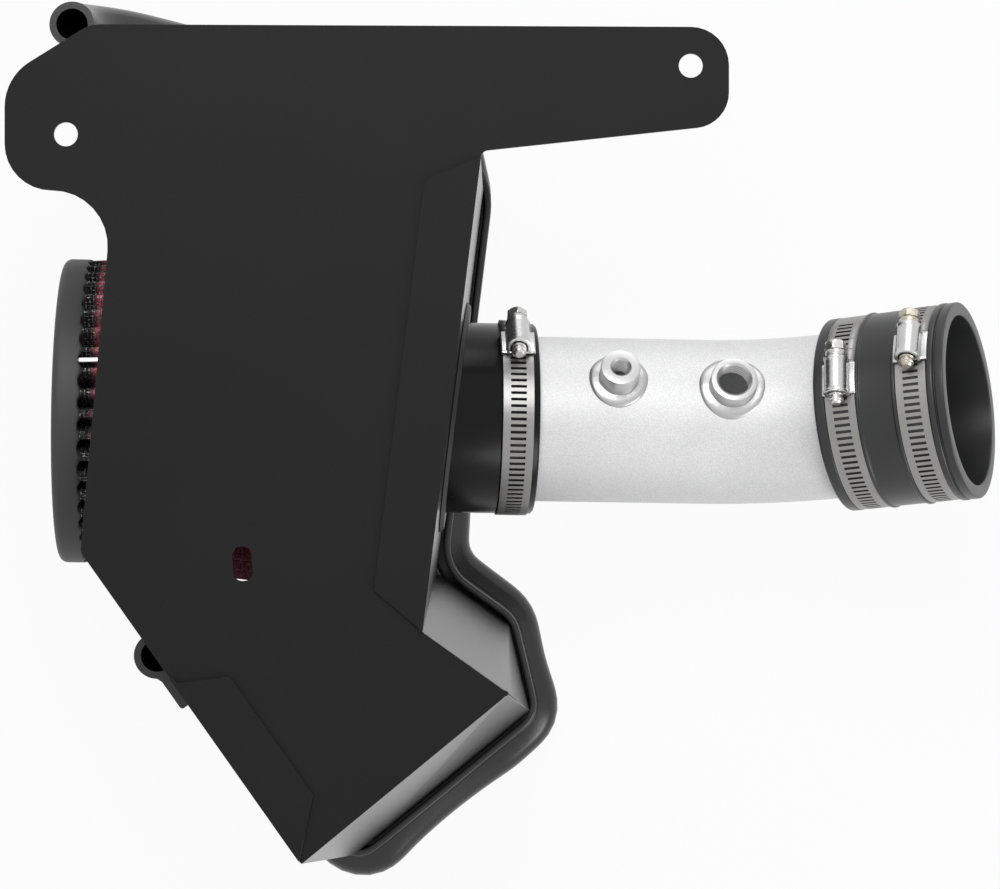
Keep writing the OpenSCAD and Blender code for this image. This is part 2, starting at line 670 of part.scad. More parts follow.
// The housing's feet stop short of what stands beside the band, such as a rib
module clamp_housing(r, beside) color("#cfd0d2") {
    top = band_out(r) + band_t + rubber_fit;
    axis = screw_axis(r);
    foot = band_w / 2 + 0.1;
    foot_gap = 0.15;
    difference() {
        translate([0, housing_l / 2, 0]) rotate([90, 0, 0]) linear_extrude(housing_l) difference() {
            union() {
                translate([0, axis]) circle(d = dome_w, $fn = 48);
                translate([-dome_w / 2, top - 1]) square([dome_w, axis - top + 1]);
                translate([-foot - 1, r]) square([2 * foot + 2, top - r + 1]);
            }
            translate([0, axis]) circle(d = screw_d + 2 * rubber_fit, $fn = 48);
        }
        lay(-foot) cylinder(r = top, h = 2 * foot);
        lay(-foot - 2) cylinder(r = beside + foot_gap, h = 2 * foot + 4);
    }
}

module clamp_screw(r) color("#cbbf9c") {
    axis = screw_axis(r);
    half = housing_l / 2;
    translate([0, 0, axis]) rotate([-90, 0, 0]) {
        translate([0, 0, -half - 3]) cylinder(d = screw_d - 0.6, h = 3);
        translate([0, 0, -half]) cylinder(d = screw_d, h = housing_l);
        translate([0, 0, half + rubber_fit]) cylinder(d = screw_d + 0.8, h = collar_l);
        translate([0, 0, half - 1]) cylinder(d = screw_d, h = 2);
        translate([0, 0, half + collar_l]) cylinder(d = hex_af / cos(30), h = hex_h, $fn = 6);
    }
}

module at_neck() pipe_frame() translate([-neck_clamp_back, 0, 0]) rotate([-neck_clamp_a, 0, 0]) children();
module at_tube() bend_frame() translate([tube_seat_at + seat_w / 2, 0, 0])
    rotate([-tube_clamp_a, 0, 0]) children();
module at_throttle() bend_frame() translate([throttle_seat_at + seat_w / 2, 0, 0])
    rotate([-throttle_clamp_a, 0, 0]) children();

module neck_clamp_band() at_neck() clamp_band(neck_r);
module neck_clamp_housing() at_neck() clamp_housing(neck_r, neck_r);
module neck_clamp_screw() at_neck() clamp_screw(neck_r);
module tube_clamp_band() at_tube() clamp_band(seat_r);
module tube_clamp_housing() at_tube() clamp_housing(seat_r, rib_r);
module tube_clamp_screw() at_tube() clamp_screw(seat_r);
module throttle_clamp_band() at_throttle() clamp_band(seat_r);
module throttle_clamp_housing() at_throttle() clamp_housing(seat_r, rib_r);
module throttle_clamp_screw() at_throttle() clamp_screw(seat_r);

in_frame() shield_base();
in_frame() tube_side_wall();
in_frame() wrap_wall();
in_frame() lower_left_wall();
in_frame() top_wall();
in_frame() hood_seal();
in_frame() neck_hole_trim();
in_frame() filter_end_cap();
in_frame() filter_media();
in_frame() filter_seam_clip();
in_frame() filter_base();
in_frame() intake_tube();
in_frame() small_bung();
in_frame() large_bung();
in_frame() throttle_coupler();
in_frame() neck_clamp_band();
in_frame() neck_clamp_housing();
in_frame() neck_clamp_screw();
in_frame() tube_clamp_band();
in_frame() tube_clamp_housing();
in_frame() tube_clamp_screw();
in_frame() throttle_clamp_band();
in_frame() throttle_clamp_housing();
in_frame() throttle_clamp_screw();
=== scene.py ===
"""Looks of the cold air intake kit: heat shield, hood seal, cone filter, tube, coupler and clamps.

X runs along the tube, Z is up. Lengths are in millimetres, and MM turns them into metres where a
mesh is made.
"""

import math
from collections import namedtuple

import bmesh
import bpy
import numpy as np
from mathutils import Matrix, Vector


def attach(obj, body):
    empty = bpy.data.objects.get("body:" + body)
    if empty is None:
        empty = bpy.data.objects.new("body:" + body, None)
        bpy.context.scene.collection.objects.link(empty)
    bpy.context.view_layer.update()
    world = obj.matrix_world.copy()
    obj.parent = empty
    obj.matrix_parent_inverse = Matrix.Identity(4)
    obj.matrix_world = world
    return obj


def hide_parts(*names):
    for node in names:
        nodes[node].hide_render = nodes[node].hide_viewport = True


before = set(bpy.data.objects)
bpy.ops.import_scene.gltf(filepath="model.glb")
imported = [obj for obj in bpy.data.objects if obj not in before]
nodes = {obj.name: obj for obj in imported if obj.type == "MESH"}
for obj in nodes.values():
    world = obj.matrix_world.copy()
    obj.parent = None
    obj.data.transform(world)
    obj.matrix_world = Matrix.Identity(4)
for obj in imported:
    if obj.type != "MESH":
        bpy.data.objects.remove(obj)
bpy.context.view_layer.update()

# Sizes, as in the part's source
MM = 0.001
MIDDLE = np.array([-8.2, 6.9, 0.0])
RIM_Z, PANEL_Z, UNDER_Z, SHEET_T = 19.8, 190.0, 188.5, 1.5
TUBE_R, TUBE_WALL = 35.0, 2.0
RUN_TO_BEND, BEND_R, BEND_ANGLE, TUBE_AFTER_BEND = 103.5, 126.0, 28.1, 59.3
PIPE_FALL, PIPE_TURN, BEND_ROLL = 3.85, -0.97, 15.3
NECK_END = np.array([14.0, 10.9, 102.0])
NECK_R, FILTER_L, CAP_D, CAP_T = 40.4, 198.2, 127.5, 10.2
MEDIA_D_CAP, MEDIA_D_BASE, PLEATS, PLEAT_DEPTH, MEDIA_T = 122.5, 155.0, 44, 15.0, 6.0
BASE_T, NECK_L, MEDIA_SEAT, SEAM_A = 18.0, 50.0, 9.0, 18.2


# Places
def turn_z(deg):
    """Turn about Z."""
    c, s = math.cos(math.radians(deg)), math.sin(math.radians(deg))
    return np.array([[c, -s, 0], [s, c, 0], [0, 0, 1.0]])


def turn_y(deg):
    """Turn about Y."""
    c, s = math.cos(math.radians(deg)), math.sin(math.radians(deg))
    return np.array([[c, 0, s], [0, 1.0, 0], [-s, 0, c]])


def turn_x(deg):
    """Turn about X."""
    c, s = math.cos(math.radians(deg)), math.sin(math.radians(deg))
    return np.array([[1.0, 0, 0], [0, c, -s], [0, s, c]])


class Place:
    """An origin and three axes, in millimetres."""

    def __init__(self, origin, axes):
        self.origin, self.axes = np.asarray(origin, float), axes

    def at(self, points):
        """Local points in the part's frame."""
        return self.origin + np.asarray(points, float) @ self.axes.T

    def then(self, shift, turn):
        """The place reached from this one by a shift and then a turn."""
        return Place(self.at(shift), self.axes @ turn)


PIPE = Place(NECK_END + MIDDLE, turn_z(PIPE_TURN) @ turn_y(PIPE_FALL))
BEND = PIPE.then([RUN_TO_BEND, 0, 0], turn_x(-BEND_ROLL) @ turn_y(-BEND_ANGLE))


# Meshes
def finish_mesh(name, points, faces, node, smooth=30.0, uv=None):
    """Put millimetre points and faces into a new object that rides on the part."""
    mesh = bpy.data.meshes.new(name)
    mesh.from_pydata((np.asarray(points) * MM).tolist(), [], [tuple(map(int, f)) for f in faces])
    if uv is not None:
        layer = mesh.uv_layers.new(name="Along")
        corners = np.zeros(len(mesh.loops), dtype=np.int32)
        mesh.loops.foreach_get("vertex_index", corners)
        layer.data.foreach_set("uv", np.asarray(uv, float)[corners].astype(np.float32).ravel())
    mesh.validate()
    piece = bpy.data.objects.new(name, mesh)
    bpy.context.scene.collection.objects.link(piece)
    soften(mesh, smooth)
    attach(piece, "root")
    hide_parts(node)
    return piece


def soften(mesh, degrees):
    """Shade smooth, with edges sharper than this angle kept crisp."""
    mesh.polygons.foreach_set("use_smooth", np.ones(len(mesh.polygons), dtype=bool))
    mesh.set_sharp_from_angle(angle=math.radians(degrees))


def repair_normals(piece, smooth):
    """Turn every face of a closed skin outwards."""
    work = bmesh.new()
    work.from_mesh(piece.data)
    bmesh.ops.recalc_face_normals(work, faces=work.faces)
    work.to_mesh(piece.data)
    work.free()
    soften(piece.data, smooth)


def merged_copy(name, node, smooth=30.0, bevel=0.0):
    """A welded copy of a CAD node with soft shading and, if bevel is given, rounded sheet edges."""
    mesh = nodes[node].data.copy()
    mesh.name = name
    work = bmesh.new()
    work.from_mesh(mesh)
    bmesh.ops.remove_doubles(work, verts=work.verts, dist=1e-6)
    if bevel:
        bmesh.ops.dissolve_limit(work, angle_limit=math.radians(0.5), verts=work.verts, edges=work.edges)
    work.to_mesh(mesh)
    work.free()
    piece = bpy.data.objects.new(name, mesh)
    bpy.context.scene.collection.objects.link(piece)
    soften(mesh, smooth)
    if bevel:
        edge = piece.modifiers.new("rounded edges", "BEVEL")
        edge.width, edge.segments, edge.limit_method = bevel * MM, 2, "ANGLE"
        edge.angle_limit = math.radians(smooth)
        edge.use_clamp_overlap = True
        edge.harden_normals = False
        edge.material = 1
    mesh.materials.clear()
    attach(piece, "root")
    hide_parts(node)
    return piece


# Materials
class Wire:
    """A socket in a material. Arithmetic on wires adds Math nodes; add() puts in any other node."""

    def __init__(self, tree, socket=None):
        self.tree, self.socket = tree, socket

    def feed(self, target, value):
        """Link a wire to an input, or set the input to a number or a colour."""
        if isinstance(value, Wire):
            self.tree.links.new(value.socket, target)
        elif isinstance(value, (tuple, list)) and len(value) == 3 and len(target.default_value) == 4:
            target.default_value = (*value, 1.0)
        else:
            target.default_value = value

    def add(self, kind, settings=None, inputs=None, out=0):
        """A node of this kind: its settings first, then its inputs by name or number."""
        node = self.tree.nodes.new("ShaderNode" + kind)
        for key, value in (settings or {}).items():
            setattr(node, key, value)
        for key, value in (inputs or {}).items():
            self.feed(node.inputs[key], value)
        return Wire(self.tree, node.outputs[out])

    def maths(self, operation, *values):
        """A Math node on these wires or numbers."""
        return self.add("Math", {"operation": operation}, dict(enumerate(values)))

    def __add__(self, other):
        return self.maths("ADD", self, other)

    __radd__ = __add__

    def __sub__(self, other):
        return self.maths("SUBTRACT", self, other)

    def __rsub__(self, other):
        return self.maths("SUBTRACT", other, self)

    def __mul__(self, other):
        return self.maths("MULTIPLY", self, other)

    def __truediv__(self, other):
        return self.maths("DIVIDE", self, other)

    def larger(self, other):
        return self.maths("MAXIMUM", self, other)

    def step(self, low, high):
        """0 below low, 1 above high, smooth between."""
        return self.add("MapRange", {"interpolation_type": "SMOOTHSTEP"},
                        {"Value": self, "From Min": low, "From Max": high})

    def mix(self, first, second):
        """First colour where this is 0, second where it is 1."""
        return self.add("Mix", {"data_type": "RGBA"}, {"Factor": self, 6: first, 7: second}, out=2)


def grey(level, tint=(1.0, 1.0, 1.0)):
    """A grey written as a screen level from 0 to 255, made linear."""
    s = level / 255
    linear = s / 12.92 if s <= 0.04045 else ((s + 0.055) / 1.055) ** 2.4
    return tuple(linear * t for t in tint)


def paint(name, draw):
    """A material whose shader inputs come from draw(wire), by socket name."""
    material = bpy.data.materials.new(name)
    material.use_nodes = True
    tree = material.node_tree
    tree.nodes.clear()
    wire = Wire(tree)
    inputs = draw(wire)
    shader = wire.add("BsdfPrincipled", {}, inputs)
    out = tree.nodes.new("ShaderNodeOutputMaterial")
    tree.links.new(shader.socket, out.inputs["Surface"])
    return material


def noise(wire, size, detail=2.0, rough=0.5):
    """Noise with lumps about size millimetres wide, in the object's own coordinates."""
    here = wire.add("TexCoord", out=3)
    return wire.add("TexNoise", {}, {"Vector": here, "Scale": 1 / (size * MM), "Detail": detail,
                                     "Roughness": rough})


def bump(wire, height, depth):
    """A normal from a height that spans 0 to 1, depth millimetres deep."""
    return wire.add("Bump", {}, {"Strength": 1.0, "Distance": depth * MM, "Height": height})


def powder_coat(rough, spec, depth):
    """Fine black powder coat with a tight orange-peel grain."""
    def draw(wire):
        grain = noise(wire, 0.9, 3.0, 0.6)
        cloud = noise(wire, 60.0, 2.0)
        return {"Base Color": (cloud * 0.5 + grain * 0.5).mix(grey(22), grey(33, (1, 1, 1.06))),
                "Roughness": rough + grain * 0.16, "Specular IOR Level": spec,
                "Normal": bump(wire, grain, depth)}
    return draw


def rubber(level, rough, grain_size, tint=(1, 1, 1.03), spec=0.4):
    """Moulded rubber of this grey, a little smeared."""
    def draw(wire):
        grain = noise(wire, grain_size, 3.0)
        smear = noise(wire, 22.0, 3.0)
        return {"Base Color": smear.mix(grey(level - 5, tint), grey(level + 5, tint)),
                "Roughness": rough + smear * 0.12, "Specular IOR Level": spec,
                "Normal": bump(wire, grain, 0.02)}
    return draw


def cast_satin(wire):
    """Bead-blasted aluminium of the tube: bright fine sparkle over a satin grey."""
    spark = noise(wire, 0.55, 2.0, 0.7)
    cloud = noise(wire, 14.0, 3.0)
    tone = (spark.step(0.35, 0.7) * 0.65 + cloud * 0.35)
    return {"Base Color": tone.mix(grey(214), grey(246, (1, 1, 1.01))),
            "Roughness": 0.5 + cloud * 0.1, "Metallic": 0.3,
            "Normal": bump(wire, spark, 0.035)}


def bright_metal(level, rough, size=0.5, tint=(1, 1, 1), depth=0.01):
    """Plain metal of this grey, with fine scuffs of a size and depth in millimetres."""
    def draw(wire):
        scuff = noise(wire, size, 3.0, 0.7)
        cloud = noise(wire, 9.0, 3.0)
        tone = scuff * 0.6 + cloud * 0.4
        return {"Base Color": tone.mix(grey(level - 22, tint), grey(level + 12, tint)),
                "Roughness": rough + scuff * 0.14, "Metallic": 1.0,
                "Normal": bump(wire, scuff, depth)}
    return draw


def threaded_metal(wire):
    """Turned aluminium; the piece's own UV is 1 at the roots of the thread, and there the colour is
    painted dark grey as shade.
    """
    root = wire.add("SeparateXYZ", {}, {"Vector": wire.add("UVMap", {"uv_map": "Along"})}, out=1)
    scuff = noise(wire, 0.5, 3.0, 0.7)
    # Painted shade: the thread roots get a dark grey base colour in place of the shade that falls in
    # them.
    return {"Base Color": root.step(0.2, 0.9).mix(scuff.mix(grey(178), grey(204)), grey(60)),
            "Roughness": 0.3 + scuff * 0.14, "Metallic": 0.9, "Normal": bump(wire, scuff, 0.01)}


def wired_cotton(wire):
    """Red cotton under black wire that has a coating: squares of wire 1.5 mm apart, with painted glints
    on the wire, specks of near white in its colour.

    The piece's own UV is millimetres round the folds and along them. Near the cap the cotton is
    black, where the cap's urethane has crept up it.
    """
    uv = wire.add("UVMap", {"uv_map": "Along"})
    parts = [wire.add("SeparateXYZ", {}, {"Vector": uv}, out=n) for n in (0, 1)]
    lines = []
    for part, pitch in zip(parts, (1.45, 1.6)):
        across = wire.maths("FRACT", part / pitch) - 0.5
        lines.append(1.0 - wire.maths("ABSOLUTE", across).step(0.05, 0.13))
    mesh = lines[0].larger(lines[1])
    weave = noise(wire, 0.5, 3.0, 0.7)
    stain = noise(wire, 9.0, 2.0)
    cotton = (weave * 0.6 + stain * 0.4).mix((0.45, 0.07, 0.11), (1.0, 0.27, 0.38))
    potted = 1.0 - (parts[1] + FILTER_L).step(CAP_T + 4.5, CAP_T + 8.0)
    # The wire's colour: a dark grey coating, with painted glints, near-white specks that stand in for
    # highlights.
    wire_coat_and_glints = noise(wire, 0.8, 2.0).step(0.52, 0.64).mix(grey(66), grey(240))
    return {"Base Color": mesh.mix(potted.mix(cotton, grey(16)), wire_coat_and_glints), "Roughness": 0.9 - mesh * 0.5,
            "Specular IOR Level": 0.35, "Normal": bump(wire, mesh + weave * 0.3, 0.35)}


MATERIALS = {
    "powder_coat": paint("black powder coat", powder_coat(0.44, 0.14, 0.05)),
    "wall_coat": paint("smoother powder coat of the walls", powder_coat(0.16, 0.42, 0.012)),
    "seal_rubber": paint("hood seal rubber", rubber(20, 0.2, 1.2, spec=0.5)),
    "trim_rubber": paint("edge trim rubber", rubber(24, 0.4, 1.0)),
    "cap_urethane": paint("moulded end cap", rubber(66, 0.48, 1.6)),
    "filter_mesh": paint("red cotton under black wire", wired_cotton),
    "base_urethane": paint("moulded filter base", rubber(12, 0.2, 1.2, spec=0.16)),
    "pressed_steel": paint("pressed clamp housing", bright_metal(205, 0.2, depth=0.03)),
    "bright_screw": paint("bright screw", bright_metal(205, 0.24, tint=(1.0, 0.99, 0.97))),
    "clip_metal": paint("seam clip metal", bright_metal(214, 0.3)),
    "tube_metal": paint("satin aluminium tube", cast_satin),
    "bung_metal": paint("turned aluminium bung", threaded_metal),
    "weld_metal": paint("weld pad", bright_metal(182, 0.3, 0.8, depth=0.04)),
    "coupler_rubber": paint("coupler rubber", rubber(36, 0.27, 2.0, (1, 1.02, 1.06), 0.5)),
    "stainless": paint("stainless band", bright_metal(150, 0.3, tint=(1, 0.99, 0.96), depth=0.02)),
    "screw_steel": paint("plated screw", bright_metal(190, 0.3, tint=(1.0, 0.93, 0.8))),
}


# Pieces
def dress(piece, finish):
    """Give the piece one more material."""
    piece.data.materials.append(MATERIALS[finish])
    return piece


SLOT_OF = {
    "shield_base": "powder_coat", "tube_side_wall": "powder_coat", "wrap_wall": "powder_coat",
    "lower_left_wall": "powder_coat", "top_wall": "powder_coat", "hood_seal": "seal_rubber",
    "neck_hole_trim": "trim_rubber", "filter_end_cap": "cap_urethane", "filter_media": "filter_mesh",
    "filter_seam_clip": "clip_metal", "filter_base": "base_urethane", "intake_tube": "tube_metal",
    "small_bung": "bung_metal", "large_bung": "bung_metal", "throttle_coupler": "coupler_rubber",
}
for clamp in ("neck", "tube", "throttle"):
    SLOT_OF[clamp + "_clamp_band"] = SLOT_OF[clamp + "_clamp_housing"] = "stainless"
    SLOT_OF[clamp + "_clamp_screw"] = "screw_steel"


# Pipe, bungs and welds
BEND_RUN = BEND_R * math.tan(math.radians(BEND_ANGLE / 2))
BEND_FROM = RUN_TO_BEND - BEND_RUN
BEND_LONG = BEND_R * math.radians(BEND_ANGLE)
TUBE_END = BEND_FROM + BEND_LONG + TUBE_AFTER_BEND - BEND_RUN
ROLLED = PIPE.then([0, 0, 0], turn_x(-BEND_ROLL))
# Where a bung stands along the pipe and round it, its sizes, and how many beads its weld has
Bung = namedtuple("Bung", "at angle across bore height pitch thread beads")
BUNGS = {
    "small_bung": Bung(33.0, 29.0, 16.5, 8.4, 10.0, pitch=1.15, thread=0.7, beads=21),
    "large_bung": Bung(80.5, 24.5, 19.5, 14.6, 7.5, pitch=1.6, thread=0.75, beads=25),
}


def pipe_points(along, radius, angle):
    """Points at a distance along the bent axis, at a radius, at an angle in degrees from the top.

    The axis is straight, then an arc of radius BEND_R, then straight again. At turn p of the arc the
    axis is at (from + R sin p, R (1 - cos p)), and the radius stands across it.
    """
    along, radius, angle = np.broadcast_arrays(*(np.asarray(v, float) for v in (along, radius, angle)))
    arc = np.clip(along - BEND_FROM, 0, BEND_LONG) / BEND_R
    rest = along - BEND_FROM - arc * BEND_R
    x = BEND_FROM + BEND_R * np.sin(arc) + rest * np.cos(arc)
    z = BEND_R * (1 - np.cos(arc)) + rest * np.sin(arc)
    a = np.radians(angle - BEND_ROLL)
    y, up = radius * np.sin(a), radius * np.cos(a)
    return ROLLED.at(np.stack([x - up * np.sin(arc), y, z + up * np.cos(arc)], axis=-1))


def grid_faces(rows, cols, wrap_rows=True):
    """Quads of a grid of points, joined round along each row, and from last row to first if asked."""
    i, j = np.meshgrid(np.arange(rows if wrap_rows else rows - 1), np.arange(cols), indexing="ij")
    k, m = (i + 1) % rows, (j + 1) % cols
    return np.stack([i * cols + j, k * cols + j, k * cols + m, i * cols + m], axis=-1).reshape(-1, 4)


def outward(points, faces):
    """The quads, turned round if the skin they make has a negative volume."""
    tris = points[np.concatenate([faces[:, :3], faces[:, [0, 2, 3]]])]
    volume = np.einsum("ij,ij->i", tris[:, 0], np.cross(tris[:, 1], tris[:, 2])).sum()
    return faces if volume > 0 else faces[:, ::-1]


def ring_skin(name, points, node, finish, smooth=35.0, uv=None):
    """A skin over a grid of points that closes both ways, such as a turned or swept profile."""
    rows, cols = points.shape[:2]
    flat = points.reshape(-1, 3)
    faces = outward(flat, grid_faces(rows, cols))
    return dress(finish_mesh(name, flat, faces, node, smooth, uv), finish)


def capped_sweep(name, points, node, finish, smooth=35.0):
    """Closed outlines, one a row, joined along the rows and closed by a flat face at each end."""
    rows, cols = points.shape[:2]
    flat = points.reshape(-1, 3)
    faces = grid_faces(rows, cols, wrap_rows=False).tolist()
    k = list(range(cols))
    piece = finish_mesh(name, flat, faces + [tuple(k), tuple(i + (rows - 1) * cols for i in k)], node,
                        smooth)
    repair_normals(piece, smooth)
    return dress(piece, finish)


def arc_between(middle, start, end, turn, steps):
    """Points on an arc about middle, from start to end, both given as seen from the middle."""
    return [middle + (start * math.sin((1 - s) * turn) + end * math.sin(s * turn)) / math.sin(turn)
            for s in np.linspace(0, 1, steps + 1)]


def rounded_line(corners, steps):
    """A closed outline from (x, y, radius) corners, each rounded by an arc of steps pieces."""
    out = []
    n = len(corners)
    for i, (_, _, r) in enumerate(corners):
        p, c, q = (np.array(corners[k % n][:2], float) for k in (i - 1, i, i + 1))
        if not r:
            out.append(c)
            continue
        a, b = (p - c) / np.linalg.norm(p - c), (q - c) / np.linalg.norm(q - c)
        half = math.acos(np.clip(a @ b, -1, 1)) / 2
        mid = c + (a + b) / np.linalg.norm(a + b) * r / math.sin(half)
        start, end = c + a * r / math.tan(half) - mid, c + b * r / math.tan(half) - mid
        out += arc_between(mid, start, end, math.pi - 2 * half, steps)
    return np.array(out)


def turned(name, outline, place, node, finish, around, **more):
    """An outline of (along, radius) turned about the X axis of a place."""
    a = np.linspace(0, 2 * np.pi, around, endpoint=False)
    line = np.asarray(outline, float)
    points = np.stack(np.broadcast_arrays(line[:, None, 0], line[:, None, 1] * np.sin(a),
                                          line[:, None, 1] * np.cos(a)), axis=-1)
    return ring_skin(name, place.at(points), node, finish, **more)


def drilled(piece, cutters):
    """Cut the piece by cutter meshes, and keep the cut mesh."""
    for tool in cutters:
        cut = piece.modifiers.new("cut", "BOOLEAN")
        cut.object, cut.operation, cut.solver = tool, "DIFFERENCE", "EXACT"
    bpy.context.view_layer.update()
    graph = bpy.context.evaluated_depsgraph_get()
    mesh = bpy.data.meshes.new_from_object(piece.evaluated_get(graph))
    piece.modifiers.clear()
    old, piece.data = piece.data, mesh
    bpy.data.meshes.remove(old)
    for tool in cutters:
        bpy.data.objects.remove(tool)
    soften(piece.data, 35)


def cutter(name, points, faces):
    """A loose mesh in millimetres that cuts a piece and is then deleted."""
    mesh = bpy.data.meshes.new(name)
    mesh.from_pydata((points * MM).tolist(), [], faces)
    tool = bpy.data.objects.new(name, mesh)
    bpy.context.scene.collection.objects.link(tool)
    return tool


def bung_place(bung):
    """Where a bung's axis meets the pipe's: Z points out along the bung."""
    return PIPE.then([bung.at, 0, 0], turn_x(-bung.angle))


def bore_cutter(bung, sides=48):
    """A round bar along a bung's axis, as wide as the hole under it."""
    radius = bung.bore / 2 + 0.4
    a = np.linspace(0, 2 * np.pi, sides, endpoint=False)
    low, high = (np.stack([radius * np.cos(a), radius * np.sin(a), np.full(sides, z)], -1)
                 for z in (TUBE_R - 15, TUBE_R + 25))
    k = np.arange(sides)
    after = (k + 1) % sides
    faces = [tuple(f) for f in np.stack([k, after, after + sides, k + sides], -1)]
    faces += [tuple(k[::-1]), tuple(k + sides)]
    return cutter("bung hole", bung_place(bung).at(np.concatenate([low, high])), faces)


def build_tube():
    """The bent tube: an outline of its wall, carried along the axis and round it.

    It starts inside the neck, and both of its ends have softened rims.
    """
    start, wall, soft = -30, TUBE_R - TUBE_WALL, 0.3
    bend_end = BEND_FROM + BEND_LONG
    steps = np.concatenate([np.linspace(start, BEND_FROM, 24)[:-1],
                            np.linspace(BEND_FROM, bend_end, 20)[:-1],
                            np.linspace(bend_end, TUBE_END, 8)])
    skin = np.full(len(steps), TUBE_R)
    skin[[0, -1]] -= soft
    outer = np.stack([steps, skin], -1)
    inner = np.stack([steps[::-1], np.full(len(steps), wall)], -1)
    line = np.concatenate([[[start, wall + soft]], outer, [[TUBE_END, wall + soft]], inner])
    a = np.linspace(0, 360, 160, endpoint=False)
    tube = ring_skin("bent_tube", pipe_points(line[:, None, 0], line[:, None, 1], a), "intake_tube",
                     "tube_metal")
    drilled(tube, [bore_cutter(bung) for bung in BUNGS.values()])


def build_boss(name, bung):
    """A turned boss with a chamfered rim and a threaded bore.

    The outline is points of (height, radius). The second UV is 1 on the roots of the thread, where the
    bung's material paints shade.
    """
    place = bung_place(bung)
    top, r, b, pitch = TUBE_R + bung.height, bung.across / 2, bung.bore / 2, bung.pitch
    foot = math.sqrt(TUBE_R ** 2 - r ** 2) - 0.6
    crest = b - bung.thread
    turns = int((top - 1.4 - (TUBE_R - TUBE_WALL + 0.6)) / pitch)
    thread = []
    for k in range(turns):
        z = top - 0.9 - k * pitch
        thread += [[z, crest], [z - 0.12 * pitch, crest], [z - 0.5 * pitch, b], [z - 0.62 * pitch, b]]
    low = thread[-1][0] - 0.6
    line = [[foot, r], [top - 0.7, r], [top - 0.2, r - 0.2], [top, r - 0.8], [top, b + 0.25],
            [top - 0.2, b]] + thread + [[low, crest], [low - 0.1, b + 0.1], [foot, b + 0.9]]
    around = 96
    # Marks the thread roots, which the bung's material paints dark as shade.
    roots = np.array([float(radius == b and height < top - 0.5) for height, radius in line])
    shade = np.stack(np.broadcast_arrays(np.arange(around), roots[:, None]), -1)
    spun = Place(place.origin, place.axes @ turn_y(-90))
    turned(name + "_boss", line, spun, name, "bung_metal", around, smooth=25, uv=shade.reshape(-1, 2))


def build_weld(name, bung):
    """The weld bead round a boss: a flat oval section turned round the foot, laid on the tube.

    The tube under it is at height sqrt(R^2 - y^2), plus x^2 / (2 BEND_R) past the bend's start.
    Slow sines and one scallop for each bead of weld vary the oval, and a fillet climbs the boss.
    """
    reach, rise, r = 4.3, 1.25, bung.across / 2
    turn = np.radians(np.arange(0, 360, 1.25))
    section = np.linspace(0, 2 * np.pi, 20, endpoint=False)
    wave = (turn * bung.beads / (2 * np.pi)) % 1.0
    scallop = np.sqrt(np.clip(1 - (wave - 0.35) ** 2 / 0.45, 0.1, 1))
    sway = 0.12 * np.sin(3 * turn + 0.7) + 0.07 * np.sin(7 * turn)
    wide = reach / 2 * (0.98 + 0.02 * scallop + sway * 0.3)
    high = rise * (0.97 + 0.03 * scallop + sway * 0.3)
    out = (r + reach / 2 - 0.2) + wide[:, None] * np.cos(section)
    swell = high[:, None] * np.sin(section)
    x, y = out * np.cos(turn)[:, None], out * np.sin(turn)[:, None]
    bend = np.clip(x + bung.at - BEND_FROM, 0, None) ** 2 / (2 * BEND_R)
    cover = np.sqrt(TUBE_R ** 2 - y ** 2) + bend * math.cos(math.radians(bung.angle - BEND_ROLL))
    hug = np.where(swell > 0, swell, swell * 0.3)
    fillet = np.exp(-(out - r) / 0.9) * 1.1 * (np.sin(section) > 0)
    ring_skin(name + "_weld", bung_place(bung).at(np.stack([x, y, cover + hug + fillet], -1)), name,
              "weld_metal", smooth=80)


build_tube()
for name, bung in BUNGS.items():
    build_boss(name, bung)
    build_weld(name, bung)


# Hood seal
LEFT_CORNER, WRAP_END = np.array([-165.8, -42.5]), np.array([-78.6, -166.0])
WRAP_CORNER, SIDE_FOOT = np.array([3.5, -98.5]), np.array([-30.6, -74.2])
UPPER_RIGHT, TOP_CORNER = np.array([-7.2, 116.0]), np.array([-28.0, 157.0])
TOP_END = np.array([-163.8, 164.9])
FLARE_UPPER, FLARE_LOWER, FACET_UPPER, FACET_LOWER, LEFT_L = 16.0, 24.5, 10.7, 6.4, 89.8
BULB_R, BULB_WALL, SEAL_WEB = 9.25, 2.8, 1.0  # the web joins the bulb to the gripping channel
CHANNEL_W, CHANNEL_H, GRIP_SLOT, GRIP_CLEAR = 10.4, 12.7, 3.3, 0.3


def unit(v):
    """The vector at length 1."""
    v = np.asarray(v, float)
    return v / np.linalg.norm(v)


def right_of(v):
    """The way to the right of a way in the plane."""
    return np.array([v[1], -v[0]])


def lift(p, z):
    """A plane point, or way, at a height."""
    return np.array([p[0], p[1], z], float)


def meet(p, u, q, v):
    """Where the line from p along u meets the line from q along v."""
    def cross(a, b):
        return a[0] * b[1] - a[1] * b[0]
    return p + u * cross(q - p, v) / cross(u, v)


def turn_stations(a, c, b, r, into, lean, steps):
    """Stations on an arc of radius r that rounds corner c between a and b.

    Each is a point, the way into the sheet and the bulb's lean, blended from one end to the other.
    """
    ua, ub = unit(a - c), unit(b - c)
    turn = math.pi - math.acos(np.clip(ua @ ub, -1, 1))
    d = r * math.tan(turn / 2)
    middle = c + unit(ua + ub) * d / math.sin(turn / 2)
    points = arc_between(middle, c + ua * d - middle, c + ub * d - middle, turn, steps)
    return [(point, unit(into[0] * (1 - k) + into[1] * k), lean[0] * (1 - k) + lean[1] * k)
            for point, k in zip(points, np.linspace(0, 1, steps + 1))]


